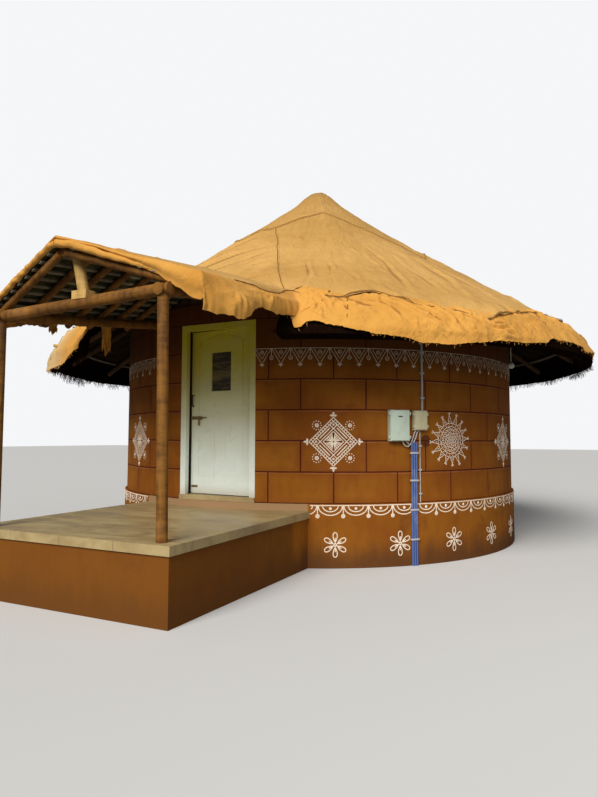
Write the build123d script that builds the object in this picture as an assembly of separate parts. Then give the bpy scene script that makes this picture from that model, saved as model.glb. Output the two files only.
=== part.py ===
from build123d import *

import os
from math import atan, cos, degrees, hypot, radians, sin, sqrt

# A round mud-walled hut with a conical thatched roof under canvas and a gabled porch.
# The origin is at the centre of the hut, on the ground, +Z is up and the door faces -Y.
# Lengths are in millimetres.

# Clearance of pieces that rest on each other along a curve
SEAT = 0.3

# Round wall and plinth
hut_r = 3000
wall_t = 230
wall_h = 2400
plinth_h = 720
plinth_ledge = 30
floor_t = 56

# Door frame and leaf
frame_w = 1072
frame_h = 2100
frame_t = 83
jamb_w = 65
stop_w = 12
stop_t = 40
leaf_t = 38
leaf_gap = 7
leaf_foot_gap = 9
leaf_ajar = 5
glass_w = 300
glass_h = 480
glass_z = 1262
glass_t = 6
panel_w = 270
panel_h = 580
panel_z = 203
panel_gap = 150
moulding_w = 18
moulding_t = 6
arch_low = 127
arch_h = 75

# Hinges
hinge_pin_r = 3
hinge_barrel_r = 7
hinge_h = 100
hinge_leaf_t = 3
hinge_leaf_w = 30
hinge_count = 3
knuckle_gap = 1
pin_clearance = 0.06

# Main roof frame
plate_w = 100
plate_h = 135
tie_w = 140
tie_h = 160
king_d = 140
hub_r = 250
hub_drop = 34
hub_rise = 8
rafter_d = 80
rafter_count = 16
roof_pitch = 0.664
eave_out = 1110
rafter_back = 190
hoop_w = 40
hoop_t = 22
hoop_count = 5
hoop_first = 650
hoop_last = 410

# Thatch and canvas of the main roof, heights above the underside of the thatch
thatch_top_t = 300
thatch_mid_t = 157
thatch_eave_t = 192
shoulder_back = 310
rim_drop = 403
hem_drop = 60
crown_r = 170
crown_h = 107
crown_arc_r = 80
crown_arc_h = 77
eave_arc_back = 99
eave_arc_h = 175
butt_back = 120
butt_clear = 8
canvas_t = 10
seam_back = 260
notch_in = 50

# Porch floor
step_h = 136
porch_half_w = 1150
slab_out = 2300
tile_t = 80
nosing = 20

# Porch frame, at the front truss
truss_out = 2200
half_span = 970
ridge_over_wall = 100
ridge_rise = 0.13
slope_right = 0.34
slope_left = 0.40
post_r = 47
post_lean = 30
tie_beam_r = 53
tie_beam_out = 80
eave_beam_r = 50
eave_beam_out = 73
beam_pocket = 120
ridge_pole_r = 42
ridge_pole_in = 70
porch_rafter_r = 35
porch_rafters = 7
porch_rafter_step = 320
first_rafter_ahead = 160
block_w = 170
block_d = 110
block_h = 50
block_x = 85
porch_king_r = 50
king_foot_x = 100
chock_w = 90
chock_clear = 2

# Porch roof cover
porch_half = 1300
ridge_overhang = 230
eave_sweep = 0.22
batten_w = 34
batten_t = 14
batten_step = 125
mat_t = 50
flap_h = 240

# Door furniture
pull_h = 150
pull_z = 1075
pull_in = 34
pull_r = 7
pull_out = 32
bolt_in = 14
bolt_z = 935
bolt_len = 230
bolt_r = 7
bolt_plate_w = 160
bolt_plate_h = 45
bolt_plate_t = 4
hasp_in = 104
hasp_w = 26
hasp_top = 14
hasp_drop = 95
hasp_t = 6
low_bolt_z = 85
low_bolt_len = 95
low_bolt_r = 4.5
low_plate_h = 28

# Electrical fittings on the wall, at angles from the door towards +X
meter_az = 42.6
meter_w = 245
meter_h = 365
meter_d = 80
meter_z = 1620
box_round = 12
junction_az = 48.0
junction_w = 178
junction_h = 235
junction_d = 60
junction_z = 1683
pipe_off = 12
upper_pipe_az = 48.8
upper_pipe_r = 13
blue_pipe_r = 12
blue_pipes = 3
blue_az = 46.3
thin_pipe_r = 7
thin_az = 48.2
pipe_gap = 4
lamp_az = 84
lamp_out = 105
lamp_rod_r = 6
lamp_globe_r = 45
lamp_globe_sink = 9
lamp_drop = 716

# Heights and lines that follow from the sizes above
wall_top = plinth_h + wall_h
eave_r = hut_r + eave_out
seam_r = eave_r - seam_back
porch_notch_r = hut_r - notch_in
porch_front = hut_r + slab_out
truss_y = -hut_r - truss_out
ridge_top = wall_top + ridge_over_wall
inner_r = hut_r - wall_t
floor_top = plinth_h + floor_t
frame_top = floor_top + frame_h
frame_front = -sqrt(hut_r**2 - (frame_w / 2) ** 2)
plate_r = hut_r - wall_t / 2
pitch_cos = cos(atan(roof_pitch))
pitch_sin = sin(atan(roof_pitch))
rafter_r = rafter_d / 2
thatch_lift = (rafter_d + hoop_t + 2 * SEAT) / pitch_cos
porch_top = floor_top - step_h
tall = 20000


def under_rafters(r):
    """Height of the line that touches the undersides of the main rafters."""
    return wall_top + plate_h + SEAT / pitch_cos - roof_pitch * (r - plate_r)


def under_thatch(r):
    return under_rafters(r) + thatch_lift


def cylinder_between(start, end, radius):
    a, b = Vector(*start), Vector(*end)
    place = Plane(origin=a, z_dir=b - a)
    return place * Cylinder(radius, (b - a).length, align=(Align.CENTER, Align.CENTER, Align.MIN))


def disc(radius, low, high):
    return Pos(0, 0, low) * Cylinder(
        radius, high - low, align=(Align.CENTER, Align.CENTER, Align.MIN)
    )


def block(x0, x1, y0, y1, z0, z1):
    return Pos((x0 + x1) / 2, (y0 + y1) / 2, (z0 + z1) / 2) * Box(x1 - x0, y1 - y0, z1 - z0)


def turned(*edges):
    """Revolves a closed outline of radius and height about the hut's axis."""
    outline = edges[0]
    for edge in edges[1:]:
        outline += edge
    return revolve(make_face(Plane.XZ * outline), Axis.Z)


def upright_plane(y):
    """The plane of X and Z at y, seen from the front."""
    return Plane(origin=(0, y, 0), x_dir=(1, 0, 0), z_dir=(0, -1, 0))


def prism_xz(points, y0, y1, rise=0.0):
    """Carries an outline in X and Z from y0 to y1, climbing by rise for each unit of length."""
    face = make_face(upright_plane(y0) * Polyline(*points, close=True))
    way = Vector(0, 1, rise).normalized()
    return extrude(face, amount=(y1 - y0) * hypot(1, rise), dir=way)


def prism_up(points):
    """Carries an outline in X and Y straight up from the ground."""
    return extrude(make_face(Polyline(*points, close=True)), amount=tall, dir=(0, 0, 1))


def at_azimuth(az, r, z):
    """A frame on the wall: az from the door towards +X, local -Y pointing outwards."""
    a = radians(az)
    return Pos(r * sin(a), -r * cos(a), z) * Rot(0, 0, az)


# Masonry
def plinth():
    return disc(hut_r + plinth_ledge, 0, plinth_h)


def floor_slab():
    return disc(inner_r - SEAT, plinth_h, floor_top)


def wall_ring():
    return disc(hut_r, plinth_h, wall_top) - disc(inner_r, plinth_h, wall_top)


def sector(start, end):
    """A wedge about the hut's axis between two angles from the door towards +X."""
    reach = 2 * hut_r
    turn = (end - start) / 2
    corners = [(0, 0)]
    for az in (start, start + turn / 2, start + turn, end - turn / 2, end):
        corners.append((reach * sin(radians(az)), -reach * cos(radians(az))))
    return prism_up(corners)


def wall_segments():
    ring = wall_ring() - block(-frame_w / 2, frame_w / 2, -tall, 0, 0, tall)
    for side in (1, -1):
        ring -= beam_pocket_hole(side)
    places = ("front_right", "right", "back_right", "back_left", "left", "front_left")
    step = 360 / len(places)
    return {
        f"wall_{place}": ring & sector(i * step, (i + 1) * step) for i, place in enumerate(places)
    }


def wall_over_door():
    return wall_ring() & block(-frame_w / 2, frame_w / 2, -tall, 0, frame_top, tall)


def door_sill():
    sill = block(-frame_w / 2, frame_w / 2, frame_front - nosing, -inner_r / 2, plinth_h, floor_top)
    return sill - disc(inner_r, 0, tall)


# Main roof frame
def main_tie_beam():
    half = hut_r - tie_w / 2
    return block(-half, half, -tie_w / 2, tie_w / 2, wall_top, wall_top + tie_h)


def wall_plate():
    r0, r1 = plate_r - plate_w / 2, plate_r + plate_w / 2
    lift = SEAT / pitch_cos
    ring = turned(
        Polyline(
            (r0, wall_top),
            (r1, wall_top),
            (r1, under_rafters(r1) - lift),
            (r0, under_rafters(r0) - lift),
            close=True,
        )
    )
    return ring - block(-tall, tall, -tie_w / 2, tie_w / 2, 0, tall)


def hub_levels():
    middle = under_rafters(hub_r) + rafter_r / pitch_cos
    half = rafter_r / pitch_cos
    return middle - half - hub_drop, middle + half + hub_rise


def apex_hub():
    low, high = hub_levels()
    shape = RegularPolygon(radius=hub_r, side_count=rafter_count, major_radius=False)
    return extrude(Pos(0, 0, low) * shape, amount=high - low)


def king_post():
    return disc(king_d / 2, wall_top + tie_h, hub_levels()[0])


def main_rafter(end_r):
    """One rafter along +X, cut upright where it meets the hub."""

    def middle(r):
        return under_rafters(r) + rafter_r / pitch_cos

    start = hub_r - rafter_d
    pole = cylinder_between((start, 0, middle(start)), (end_r, 0, middle(end_r)), rafter_r)
    return pole - block(-tall, hub_r, -tall, tall, 0, tall)


def main_rafters():
    step = 360 / rafter_count
    shapes = []
    for i in range(rafter_count):
        az = (i + 0.5) * step
        pole = main_rafter(eave_r - rafter_back)
        if az < step or az > 360 - step:
            pole = main_rafter(porch_notch_r) & disc(porch_notch_r - 2 * SEAT, 0, tall)
        shapes.append(Rot(0, 0, az - 90) * pole)
    return Compound(children=[s.solid() for s in shapes])


def roof_hoops():
    """Split bamboo rings on the rafters, which carry the thatch."""
    rings = []
    first, last = hub_r + hoop_first, eave_r - hoop_last
    for i in range(hoop_count):
        r = first + i * (last - first) / (hoop_count - 1)
        base_r = r + (rafter_d + SEAT) * pitch_sin
        base_z = under_rafters(r) + (rafter_d + SEAT) * pitch_cos
        along = (pitch_cos * hoop_w / 2, -pitch_sin * hoop_w / 2)
        up = (pitch_sin * hoop_t, pitch_cos * hoop_t)
        ring = turned(
            Polyline(
                (base_r - along[0], base_z - along[1]),
                (base_r + along[0], base_z + along[1]),
                (base_r + along[0] + up[0], base_z + along[1] + up[1]),
                (base_r - along[0] + up[0], base_z - along[1] + up[1]),
                close=True,
            )
        )
        rings.append((ring - porch_notch()).solid())
    return Compound(children=rings)


# Thatch and canvas
def roof_line(depth):
    """The bell-shaped outer line of the roof, moved inwards by depth along its normals.

    Each mark is a radius, a height and how steeply its normal rises, in degrees.
    """
    shoulder_r = eave_r - shoulder_back
    shoulder_z = under_thatch(shoulder_r) + thatch_eave_t
    rim_z = shoulder_z - rim_drop
    crown_z = under_thatch(crown_r) + thatch_top_t
    middle_r = (crown_r + shoulder_r) / 2
    marks = {
        "apex": (0, crown_z + crown_h, 90),
        "crown_arc": (crown_arc_r, crown_z + crown_arc_h, 66),
        "crown": (crown_r, crown_z, 52),
        "slope": (middle_r, under_thatch(middle_r) + thatch_mid_t, 55),
        "shoulder": (shoulder_r, shoulder_z, 58),
        "eave": (eave_r - eave_arc_back, rim_z + eave_arc_h, 35),
        "rim": (eave_r, rim_z, 8),
        "foot": (eave_r, rim_z - hem_drop, 0),
    }
    return {
        name: (max(0, r - depth * cos(radians(a))), z - depth * sin(radians(a)))
        for name, (r, z, a) in marks.items()
    }


def line_edges(p):
    crown = ThreePointArc(p["apex"], p["crown_arc"], p["crown"])
    slope = ThreePointArc(p["crown"], p["slope"], p["shoulder"])
    eave = ThreePointArc(p["shoulder"], p["eave"], p["rim"])
    return crown + slope + eave + Line(p["rim"], p["foot"])


def porch_notch():
    """The space that the porch roof takes out of the main roof."""
    w = porch_half + canvas_t
    points = [
        (-w, 0),
        (w, 0),
        (w, cover_z(w, truss_y, 0)),
        (0, cover_z(0, truss_y, 0)),
        (-w, cover_z(-w, truss_y, 0)),
    ]
    return prism_xz(points, truss_y, 0, ridge_rise) - disc(porch_notch_r, 0, tall)


def thatch():
    p = roof_line(canvas_t + SEAT)
    foot = p["foot"]
    butt_r = foot[0] - butt_back
    inner = eave_r - rafter_back + rafter_r * pitch_sin + butt_clear
    rest = Polyline(
        foot,
        (butt_r, foot[1] - butt_back / 3),
        (inner, under_thatch(inner)),
        (0, under_thatch(0)),
        p["apex"],
    )
    cone = turned(line_edges(p), rest)
    pocket = cylinder_between(
        (0, -plate_r + chock_w, ridge_pole_z(-plate_r + chock_w)),
        (0, truss_y, ridge_pole_z(truss_y)),
        ridge_pole_r + SEAT,
    )
    pocket_end = ridge_pole_end() + ridge_rise * ridge_pole_r + SEAT
    pocket -= block(-tall, tall, pocket_end, tall, 0, tall)
    return cone - porch_notch() - pocket


def canvas_skin():
    outer, inner = roof_line(0), roof_line(canvas_t)
    face = turned(
        line_edges(outer),
        line_edges(inner),
        Line(outer["foot"], inner["foot"]),
        Line(outer["apex"], inner["apex"]),
    )
    return face - porch_notch()


def roof_canvas():
    return canvas_skin() & disc(seam_r, 0, tall)


def canvas_hem():
    return canvas_skin() - disc(seam_r, 0, tall)


# Porch floor
def porch_base():
    base = block(-porch_half_w, porch_half_w, -porch_front, -hut_r / 2, 0, porch_top - tile_t)
    return base - disc(hut_r + plinth_ledge, 0, tall)


def porch_floor():
    w = porch_half_w + nosing
    slab = block(-w, w, -porch_front - nosing, -hut_r / 2, porch_top - tile_t, porch_top)
    return slab - disc(hut_r + plinth_ledge, 0, tall)


# Porch frame
def side_slope(side):
    return slope_right if side > 0 else slope_left


def cover_z(x, y, depth):
    """Height of the porch roof at x and y, depth below the top of its canvas."""
    slope = slope_right if x > 0 else slope_left
    return ridge_top + ridge_rise * (y - truss_y) - slope * abs(x) - depth


def side_tilt(side):
    """Height over square distance for a plane as steep as one side of the porch roof."""
    return sqrt(1 + side_slope(side) ** 2 + ridge_rise**2)


def rafter_axis_drop(side):
    """How far the rafters' axes lie below the top of the canvas."""
    return canvas_t + mat_t + batten_t + (porch_rafter_r + SEAT) * side_tilt(side)


def eave_beam_z(side, y):
    drop = rafter_axis_drop(side) + (eave_beam_r + porch_rafter_r + SEAT) * side_tilt(side)
    return cover_z(side * half_span, y, drop)


def ridge_pole_z(y):
    drop = max(rafter_axis_drop(1), rafter_axis_drop(-1))
    return cover_z(0, y, drop)


def ridge_pole_end():
    return -plate_r + chock_w / 4


def ridge_pole():
    ahead = truss_y - ridge_overhang + ridge_pole_in
    back = ridge_pole_end()
    return cylinder_between(
        (0, ahead, ridge_pole_z(ahead)), (0, back, ridge_pole_z(back)), ridge_pole_r
    )


def ridge_seat(y0, y1):
    """The room of the ridge pole between two places, with its clearance."""
    return cylinder_between(
        (0, y0, ridge_pole_z(y0)), (0, y1, ridge_pole_z(y1)), ridge_pole_r + SEAT
    )


def ridge_chock():
    """A short block that carries the ridge pole on the wall plate."""
    front, back = -plate_r - chock_w / 2, -plate_r + chock_w / 4
    low = wall_top + plate_h / 2
    high = min(ridge_pole_z(-plate_r), under_thatch(plate_r + chock_w / 2) - chock_clear)
    chock = block(-chock_w / 2, chock_w / 2, front, back, low, high)
    r0, r1 = plate_r - plate_w, plate_r + plate_w
    plate_top = turned(
        Polyline(
            (r0, 0),
            (r1, 0),
            (r1, under_rafters(r1)),
            (r0, under_rafters(r0)),
            close=True,
        )
    )
    return (chock - plate_top - ridge_seat(truss_y, 0)).solid()


def tie_beam_ends():
    z_left, z_right = eave_beam_z(-1, truss_y), eave_beam_z(1, truss_y)
    slope = (z_right - z_left) / (2 * half_span)
    left, right = -half_span - tie_beam_out, half_span + tie_beam_out
    return (
        (left, truss_y, z_left + slope * (left + half_span)),
        (right, truss_y, z_left + slope * (right + half_span)),
    )


def tie_beam_z(x):
    (x0, _, z0), (x1, _, z1) = tie_beam_ends()
    return z0 + (z1 - z0) * (x - x0) / (x1 - x0)


def front_tie_beam():
    """The round beam across the posts, halved where it crosses the eave beams."""
    beam = cylinder_between(*tie_beam_ends(), tie_beam_r)
    for side in (1, -1):
        x, z = side * half_span, eave_beam_z(side, truss_y)
        beam -= block(x - eave_beam_r, x + eave_beam_r, -tall, 0, z, tall)
    return beam


def eave_beam_axis(side):
    x = side * half_span
    ahead = truss_y - eave_beam_out
    back = -sqrt(hut_r**2 - half_span**2) + beam_pocket
    return (x, ahead, eave_beam_z(side, ahead)), (x, back, eave_beam_z(side, back))


def beam_pocket_hole(side):
    (x, y0, z0), (_, y1, z1) = eave_beam_axis(side)
    return cylinder_between((x, y0, z0), (x, y1, z1), eave_beam_r + SEAT)


def eave_beam(side):
    beam = cylinder_between(*eave_beam_axis(side), eave_beam_r)
    x, z = side * half_span, eave_beam_z(side, truss_y)
    lap = block(x - tall, x + tall, truss_y - tie_beam_r, truss_y + tie_beam_r, 0, z)
    return beam - lap


def porch_post(side):
    lean = post_lean if side > 0 else 0
    x = side * half_span
    top = tie_beam_z(x)
    base_z = porch_top - post_r
    post = cylinder_between((x + lean, truss_y, base_z), (x, truss_y, top), post_r)
    beam = cylinder_between(*tie_beam_ends(), tie_beam_r + SEAT)
    post -= block(-tall, tall, -tall, tall, -tall, porch_top)
    post -= block(-tall, tall, -tall, tall, top - tie_beam_r / 2, tall)
    return (post - beam).solid()


def king_block():
    z = tie_beam_z(block_x)
    shape = block(
        block_x - block_w / 2,
        block_x + block_w / 2,
        truss_y - block_d / 2,
        truss_y + block_d / 2,
        z + tie_beam_r / 2,
        z + tie_beam_r + block_h,
    )
    ends = tie_beam_ends()
    return shape - cylinder_between(*ends, tie_beam_r + SEAT)


def porch_king_post():
    low = tie_beam_z(block_x) + tie_beam_r + block_h
    high = ridge_pole_z(truss_y)
    foot = (king_foot_x, truss_y, low - porch_king_r)
    post = cylinder_between(foot, (0, truss_y, high), porch_king_r)
    post -= block(-tall, tall, -tall, tall, 0, low)
    post -= block(-tall, tall, -tall, tall, high - ridge_pole_r / 2, tall)
    pole = ridge_seat(truss_y - 2 * porch_king_r, truss_y + 2 * porch_king_r)
    return (post - pole).solid()


def porch_rafter(side, y):
    """A pole from the ridge pole down over the eave beam, swept back as the rake is."""
    drop = rafter_axis_drop(side)
    end = side * (porch_half - batten_w)
    back = y + eave_sweep * abs(end)
    pole = cylinder_between(
        (0, y, cover_z(0, y, drop)),
        (end, back, cover_z(end, back, drop)),
        porch_rafter_r,
    )
    pole -= cylinder_between(*tie_beam_ends(), tie_beam_r + SEAT)
    ridge = ridge_seat(y - 4 * porch_rafter_r, y + 4 * porch_rafter_r)
    near = block(-ridge_pole_r / 2, ridge_pole_r / 2, -tall, tall, 0, tall)
    return (pole - ridge - near).solid()


def porch_rafters_set():
    shapes = []
    for i in range(porch_rafters):
        y = truss_y - first_rafter_ahead + i * porch_rafter_step
        for side in (1, -1):
            shapes.append(porch_rafter(side, y))
    return Compound(children=shapes)


def front_sweep():
    """Everything ahead of the rake, which runs back from the ridge to the eaves."""
    y0 = truss_y - ridge_overhang
    reach = 2 * porch_half
    points = [
        (0, y0),
        (reach, y0 + eave_sweep * reach),
        (reach, -tall),
        (-reach, -tall),
        (-reach, y0 + eave_sweep * reach),
    ]
    return prism_up(points)


def porch_cover(points, back_r):
    """A layer of the porch roof: an outline in X and Z from the rake back to a radius."""
    y0 = truss_y - ridge_overhang
    shape = prism_xz(points, y0, 0, ridge_rise) - disc(back_r, 0, tall)
    shape -= disc(hut_r + SEAT, 0, wall_top + SEAT)
    return (shape - front_sweep()).solid()


def layer_points(half, top, bottom):
    """The chevron between two depths below the top of the canvas, out to half each side."""
    y0 = truss_y - ridge_overhang
    upper = [(x, cover_z(x, y0, top)) for x in (-half, 0, half)]
    lower = [(x, cover_z(x, y0, bottom)) for x in (half, 0, -half)]
    return upper + lower


def porch_battens():
    """Split laths along the porch, on the rafters and under the matting."""
    shapes = []
    y0 = truss_y - ridge_overhang
    top, bottom = canvas_t + mat_t, canvas_t + mat_t + batten_t
    count = int((porch_half - ridge_pole_r - 2 * batten_w) / batten_step) + 1
    for side in (1, -1):
        for i in range(count):
            x0 = side * (porch_half - (i + 1) * batten_w / 2 - i * (batten_step - batten_w / 2))
            x1 = x0 - side * batten_w
            low, high = sorted((x0, x1))
            points = [
                (low, cover_z(low, y0, top)),
                (high, cover_z(high, y0, top)),
                (high, cover_z(high, y0, bottom)),
                (low, cover_z(low, y0, bottom)),
            ]
            shapes.append(porch_cover(points, hut_r + SEAT))
    return Compound(children=shapes)


def porch_matting():
    return porch_cover(layer_points(porch_half, canvas_t, canvas_t + mat_t), porch_notch_r)


def porch_canvas():
    """The cloth over the matting, with a flap down each eave."""
    y0 = truss_y - ridge_overhang
    w = porch_half
    out = w + canvas_t
    points = [
        (-out, cover_z(-w, y0, flap_h)),
        (-out, cover_z(-out, y0, 0)),
        (0, cover_z(0, y0, 0)),
        (out, cover_z(out, y0, 0)),
        (out, cover_z(w, y0, flap_h)),
        (w, cover_z(w, y0, flap_h)),
        (w, cover_z(w, y0, canvas_t)),
        (0, cover_z(0, y0, canvas_t)),
        (-w, cover_z(-w, y0, canvas_t)),
        (-w, cover_z(-w, y0, flap_h)),
    ]
    return porch_cover(points, porch_notch_r)


# Door
def frame_inside(side_w, low, high):
    half = frame_w / 2 - side_w
    return block(-half, half, low, high, 0, frame_top - side_w)


def door_frame():
    """Three sides of timber with a rebate at the back for the leaf."""
    back = frame_front + frame_t
    frame = block(-frame_w / 2, frame_w / 2, frame_front, back, floor_top, frame_top)
    frame -= frame_inside(jamb_w + stop_w, -tall, frame_front + stop_t)
    return frame - frame_inside(jamb_w, frame_front + stop_t, tall)


def leaf_box():
    x0 = -frame_w / 2 + jamb_w + leaf_gap
    x1 = frame_w / 2 - jamb_w - leaf_gap
    y1 = frame_front + frame_t
    z0, z1 = floor_top + leaf_foot_gap, frame_top - jamb_w - leaf_gap
    return x0, x1, y1 - leaf_t, y1, z0, z1


def hinge_axis():
    x1, y1 = leaf_box()[1], leaf_box()[3]
    return x1 + leaf_gap / 2, y1 + hinge_barrel_r


def ajar(shape):
    """Turns a piece of the closed leaf to where it stands ajar."""
    x, y = hinge_axis()
    return Pos(x, y, 0) * Rot(0, 0, -leaf_ajar) * Pos(-x, -y, 0) * shape


def raised_panel(x, z, w, h, y):
    """A fielded panel: a sunk border round a raised field, cut into the outer face."""
    ring = block(x - w / 2, x + w / 2, y, y + moulding_t, z, z + h)
    m = moulding_w
    field = block(x - w / 2 + m, x + w / 2 - m, y, y + moulding_t, z + m, z + h - m)
    return ring - field


def arched_moulding(x, z0, z1, w, rise, y):
    """A sunk border with an eyebrow arch at the head."""

    def outline(inset):
        left, right = x - w / 2 + inset, x + w / 2 - inset
        low, high = z0 + inset, z1 - inset
        head = ThreePointArc((left, high), (x, high + rise), (right, high))
        sides = Polyline((right, high), (right, low), (left, low), (left, high))
        face = make_face(upright_plane(y) * (head + sides))
        return extrude(face, amount=moulding_t, dir=(0, 1, 0))

    return outline(0) - outline(moulding_w)


def leaf_middle():
    x0, x1 = leaf_box()[:2]
    return (x0 + x1) / 2


def door_leaf():
    x0, x1, y0, y1, z0, z1 = leaf_box()
    leaf = block(x0, x1, y0, y1, z0, z1)
    middle = leaf_middle()
    for side in (1, -1):
        x = middle + side * (panel_gap + panel_w) / 2
        leaf -= raised_panel(x, z0 + panel_z, panel_w, panel_h, y0)
    low = z0 + panel_z + panel_h + panel_gap
    wide = 2 * panel_w + panel_gap
    leaf -= arched_moulding(middle, low, z1 - arch_low, wide, arch_h, y0)
    z = z0 + glass_z
    leaf -= block(middle - glass_w / 2, middle + glass_w / 2, y0, y1, z, z + glass_h)
    return ajar(leaf)


def door_glass():
    _, _, y0, y1, z0, _ = leaf_box()
    middle, y, z = leaf_middle(), (y0 + y1) / 2, z0 + glass_z
    pane = block(
        middle - glass_w / 2, middle + glass_w / 2, y - glass_t / 2, y + glass_t / 2, z, z + glass_h
    )
    return ajar(pane)


def hinge_heights():
    z0, z1 = leaf_box()[4:]
    first, last = z0 + 2 * hinge_h, z1 - 2 * hinge_h
    return [first + i * (last - first) / (hinge_count - 1) for i in range(hinge_count)]


def knuckle_heights(z):
    """The foot, the two joints between the knuckles and the head of a hinge at z."""
    low = z - hinge_h / 2
    return low, low + hinge_h / 3, low + 2 * hinge_h / 3, low + hinge_h


def frame_hinges():
    """The fixed halves: a plate and two knuckles each, with the pin."""
    x, y = hinge_axis()
    place = Pos(x, y, 0)
    back = frame_front + frame_t
    shapes = []
    for height in hinge_heights():
        low, first, second, high = knuckle_heights(height)
        plate = block(x, x + hinge_leaf_w, back, back + hinge_leaf_t, low, high)
        plate -= place * disc(hinge_barrel_r + knuckle_gap, first - knuckle_gap, second + knuckle_gap)
        plate += place * disc(hinge_barrel_r, low, first - knuckle_gap)
        plate += place * disc(hinge_barrel_r, second + knuckle_gap, high)
        plate += place * disc(hinge_pin_r, low, high)
        shapes.append(plate.solid())
    return Compound(children=shapes)


def leaf_hinges():
    """The moving halves: a plate and the middle knuckle each."""
    x, y = hinge_axis()
    place = Pos(x, y, 0)
    back = frame_front + frame_t
    shapes = []
    for height in hinge_heights():
        low, first, second, high = knuckle_heights(height)
        far = x - leaf_gap / 2 - hinge_leaf_w
        plate = block(far, x, back, back + hinge_leaf_t, low, high)
        plate -= place * disc(hinge_barrel_r + knuckle_gap, low, first + knuckle_gap)
        plate -= place * disc(hinge_barrel_r + knuckle_gap, second - knuckle_gap, high)
        plate += place * disc(hinge_barrel_r, first + knuckle_gap, second - knuckle_gap)
        plate -= place * disc(hinge_pin_r + pin_clearance, low, high)
        shapes.append(ajar(plate).solid())
    return Compound(children=shapes)


def pull_handle():
    """A bent bar that stands off the leaf on two feet."""
    x0, _, y0, _, z0, _ = leaf_box()
    x, z = x0 + pull_in, z0 + pull_z
    low, high = z, z + pull_h
    path = FilletPolyline(
        (x, y0, low + pull_r),
        (x, y0 - pull_out, low + pull_r),
        (x, y0 - pull_out, high - pull_r),
        (x, y0, high - pull_r),
        radius=2 * pull_r,
    )
    start = Plane(origin=(x, y0, low + pull_r), z_dir=(0, -1, 0))
    return ajar(sweep(start * Circle(pull_r), path=path))


def bolt_bar(start, length, y, z, radius):
    return cylinder_between((start, y, z), (start + length, y, z), radius)


def door_bolts():
    """The sliding bolt on its plate with its hasp, and the small bolt near the foot."""
    x0, _, y0, _, z0, _ = leaf_box()
    start = x0 + bolt_in
    z = z0 + bolt_z
    plate_y = y0 - bolt_plate_t
    half = bolt_plate_h / 2
    upper = block(start, start + bolt_plate_w, plate_y, y0, z - half, z + half)
    y = plate_y - 0.7 * bolt_r
    upper += bolt_bar(start, bolt_len, y, z, bolt_r)
    left = start + hasp_in
    front = y - bolt_r
    upper += block(left, left + hasp_w, front - hasp_t, front + hasp_t / 3, z - hasp_drop, z + hasp_top)
    z = z0 + low_bolt_z
    half = low_plate_h / 2
    lower = block(start, start + low_bolt_len, plate_y, y0, z - half, z + half)
    lower += bolt_bar(start, low_bolt_len, plate_y - 0.7 * low_bolt_r, z, low_bolt_r)
    return Compound(children=[ajar(upper).solid(), ajar(lower).solid()])


# Electrical fittings
def wall_box(az, w, h, d, z):
    """A box with rounded front edges whose back follows the wall."""
    depth = hut_r - sqrt(hut_r**2 - (w / 2) ** 2)
    box = block(-w / 2, w / 2, -d, 2 * depth, -h / 2, h / 2)
    front = box.faces().sort_by(Axis.Y)[0]
    box = fillet(front.edges() + box.edges().filter_by(Axis.Z).group_by(Axis.Y)[0], radius=box_round)
    return (at_azimuth(az, hut_r, z) * box - disc(hut_r + SEAT, 0, tall)).solid()


def meter_box():
    return wall_box(meter_az, meter_w, meter_h, meter_d, meter_z)


def junction_box():
    return wall_box(junction_az, junction_w, junction_h, junction_d, junction_z)


def wall_pipe(az, radius, low, high, base_r):
    a = radians(az)
    r = base_r + radius + SEAT
    return Pos(r * sin(a), -r * cos(a), 0) * disc(radius, low, high)


def grey_conduits():
    """The pipe from the small box up under the eave, and the thin pipe below it."""
    high = under_rafters(hut_r) - rafter_d
    top = wall_pipe(upper_pipe_az, upper_pipe_r, junction_z + junction_h / 2, high, hut_r)
    low = wall_pipe(thin_az, thin_pipe_r, plinth_h, junction_z - junction_h / 2, hut_r)
    return Compound(children=[top.solid(), low.solid()])


def blue_conduits():
    """Pipes side by side from the meter box to the ground, standing off the wall by the ledge."""
    step = degrees((2 * blue_pipe_r + pipe_gap) / hut_r)
    first = blue_az - step * (blue_pipes - 1) / 2
    top = min(meter_z - meter_h / 2, junction_z - junction_h / 2)
    shapes = []
    for i in range(blue_pipes):
        pipe = wall_pipe(first + i * step, blue_pipe_r, 0, top - pipe_off, hut_r + plinth_ledge)
        shapes.append(pipe.solid())
    return Compound(children=shapes)


def eave_lamp():
    """A globe on a rod that hangs from the underside of the thatch."""
    a = radians(lamp_az)
    r = hut_r + lamp_out
    r0, r1 = r - lamp_globe_r, r + lamp_globe_r
    lift = SEAT / pitch_cos
    soffit = turned(
        Polyline(
            (r0, under_thatch(r0) - lift),
            (r1, under_thatch(r1) - lift),
            (r1, tall),
            (r0, tall),
            close=True,
        )
    )
    top = under_thatch(r)
    place = Pos(r * sin(a), -r * cos(a), 0)
    rod = place * disc(lamp_rod_r, top - lamp_drop, top + lamp_globe_r) - soffit
    globe = place * Pos(0, 0, top - lamp_drop - lamp_globe_r + lamp_globe_sink) * Sphere(lamp_globe_r)
    return rod + globe


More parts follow.
